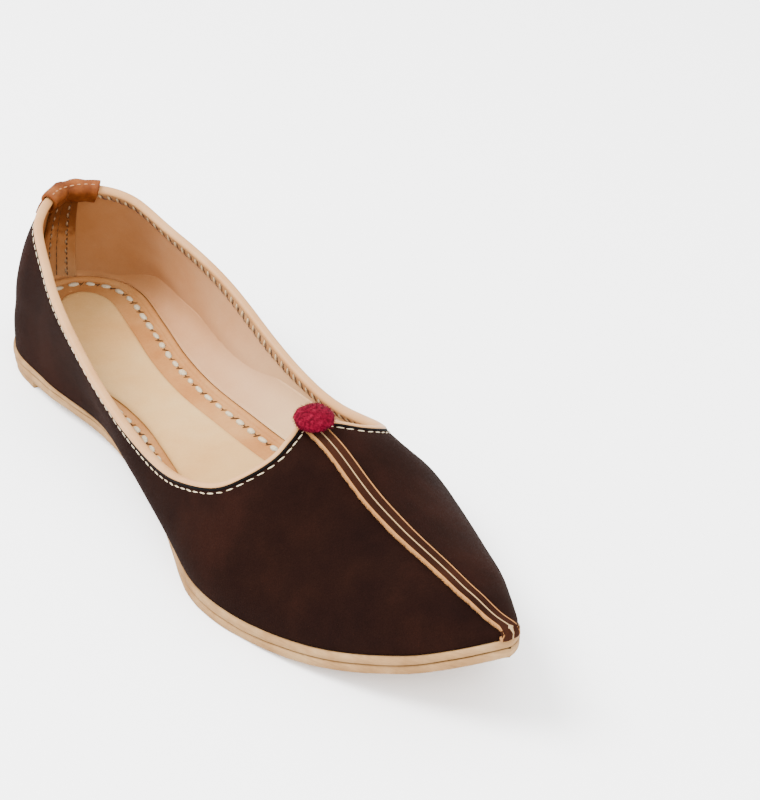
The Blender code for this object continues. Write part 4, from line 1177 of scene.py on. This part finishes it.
def wool_button():
    """Felted ball pressed flat, with loose fibres all over."""
    low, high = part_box("wool_button")
    centre, size = (low + high) / 2 + BUTTON_SETTLED, (high - low) / 2
    bm = bmesh.new()
    bmesh.ops.create_icosphere(bm, subdivisions=5, radius=1)
    for vert in bm.verts:
        out = vert.co.normalized()
        lump = (0.03 * math.sin(5.1 * out.x + 1.3) * math.cos(4.3 * out.y + 0.4)
                + 0.02 * math.sin(9 * out.z + 7 * out.x))
        dimple = 0.14 * math.exp(-(out.xy.length / 0.16) ** 2) if out.z > 0 else 0.0
        shape = Vector((out.x, out.y, max(out.z, -0.7))) * (0.96 + lump - dimple)
        vert.co = Vector((shape.x * size.x, shape.y * size.y, shape.z * size.z)) + centre
    link("felt_ball", bm, (WOOL,), ("wool_button",))
    fibres = bmesh.new()
    for _ in range(1500):
        out = Vector([random.gauss(0, 1) for _ in range(3)]).normalized()
        out.z = max(out.z, -0.5)
        root = Vector((out.x * size.x, out.y * size.y, out.z * size.z)) * 0.94 + centre
        lean = Vector((random.uniform(-1, 1), random.uniform(-1, 1), random.uniform(-0.6, 0.6)))
        heading = (out * 0.6 + lean).normalized()
        length = random.uniform(0.0005, 0.0012)
        made = bmesh.ops.create_cone(fibres, cap_ends=False, segments=3, radius1=0.00005, radius2=0.00002,
                                     depth=length)
        turn = heading.to_track_quat("Z", "X").to_matrix().to_4x4()
        bmesh.ops.transform(fibres, verts=made["verts"],
                            matrix=Matrix.Translation(root + heading * length / 2) @ turn)
    link("felt_fibres", fibres, (WOOL,))


# ---- Scene ----

def studio():
    """Pale sweep, broad soft key from the upper left, and fill."""
    bm = bmesh.new()
    bmesh.ops.create_grid(bm, x_segments=2, y_segments=2, size=3.0)
    mesh = bpy.data.meshes.new("floor")
    bm.to_mesh(mesh)
    bm.free()
    floor = bpy.data.objects.new("floor", mesh)
    bpy.context.scene.collection.objects.link(floor)
    white, _, shader, _ = start_material("matt_white_sweep", 0.9)
    shader.inputs["Base Color"].default_value = colour("#f6f6f6", 1.0)
    mesh.materials.append(white)

    world = bpy.data.worlds.new("studio")
    bpy.context.scene.world = world
    world.use_nodes = True
    world.node_tree.nodes["Background"].inputs["Color"].default_value = (1, 1, 1, 1)
    world.node_tree.nodes["Background"].inputs["Strength"].default_value = 3.5

    def lamp(name, place, size, power):
        light = bpy.data.lights.new(name, "AREA")
        light.shape = "DISK"
        light.size = size
        light.energy = power
        made = bpy.data.objects.new(name, light)
        bpy.context.scene.collection.objects.link(made)
        made.location = place
        made.rotation_euler = Vector(place).to_track_quat("Z", "Y").to_euler()

    lamp("key_softbox", (-0.7, 0.5, 1.3), 0.9, 62)
    lamp("front_fill", (-0.3, -1.3, 0.9), 1.2, 25)


AZIMUTH, ELEVATION, ROLL = (math.radians(angle) for angle in (-36.197, 31.365, 1.86))
DISTANCE = 0.5611
AIM = Vector((0.05143, -0.00764, 0.020))
FOCAL_PIXELS = 1640.1
PICTURE_WIDTH = 760


def camera():
    """Camera at the photograph's angle, fitted to the shoe's outline and trim lines."""
    back = Vector((math.sin(AZIMUTH) * math.cos(ELEVATION), -math.cos(AZIMUTH) * math.cos(ELEVATION),
                   math.sin(ELEVATION)))
    right = Vector((math.cos(AZIMUTH), math.sin(AZIMUTH), 0))
    up = back.cross(right)
    turned_right = right * math.cos(ROLL) + up * math.sin(ROLL)
    turned_up = up * math.cos(ROLL) - right * math.sin(ROLL)
    data = bpy.data.cameras.new("camera")
    data.sensor_fit = "HORIZONTAL"
    data.sensor_width = 36.0
    data.lens = FOCAL_PIXELS * data.sensor_width / PICTURE_WIDTH
    data.clip_start, data.clip_end = 0.01, 20
    made = bpy.data.objects.new("camera", data)
    bpy.context.scene.collection.objects.link(made)
    turn = Matrix((turned_right, turned_up, back)).transposed().to_4x4()
    made.matrix_world = Matrix.Translation(AIM + back * DISTANCE) @ turn
    bpy.context.scene.camera = made


camera()
studio()
upper_shell()
topline_roll()
topline_stitches()
whip_stitches()
sole()
insole_board()
sock_pad()
lining_margin()
insole_stitches()
heel_tab()
back_strip()
seam()
wool_button()
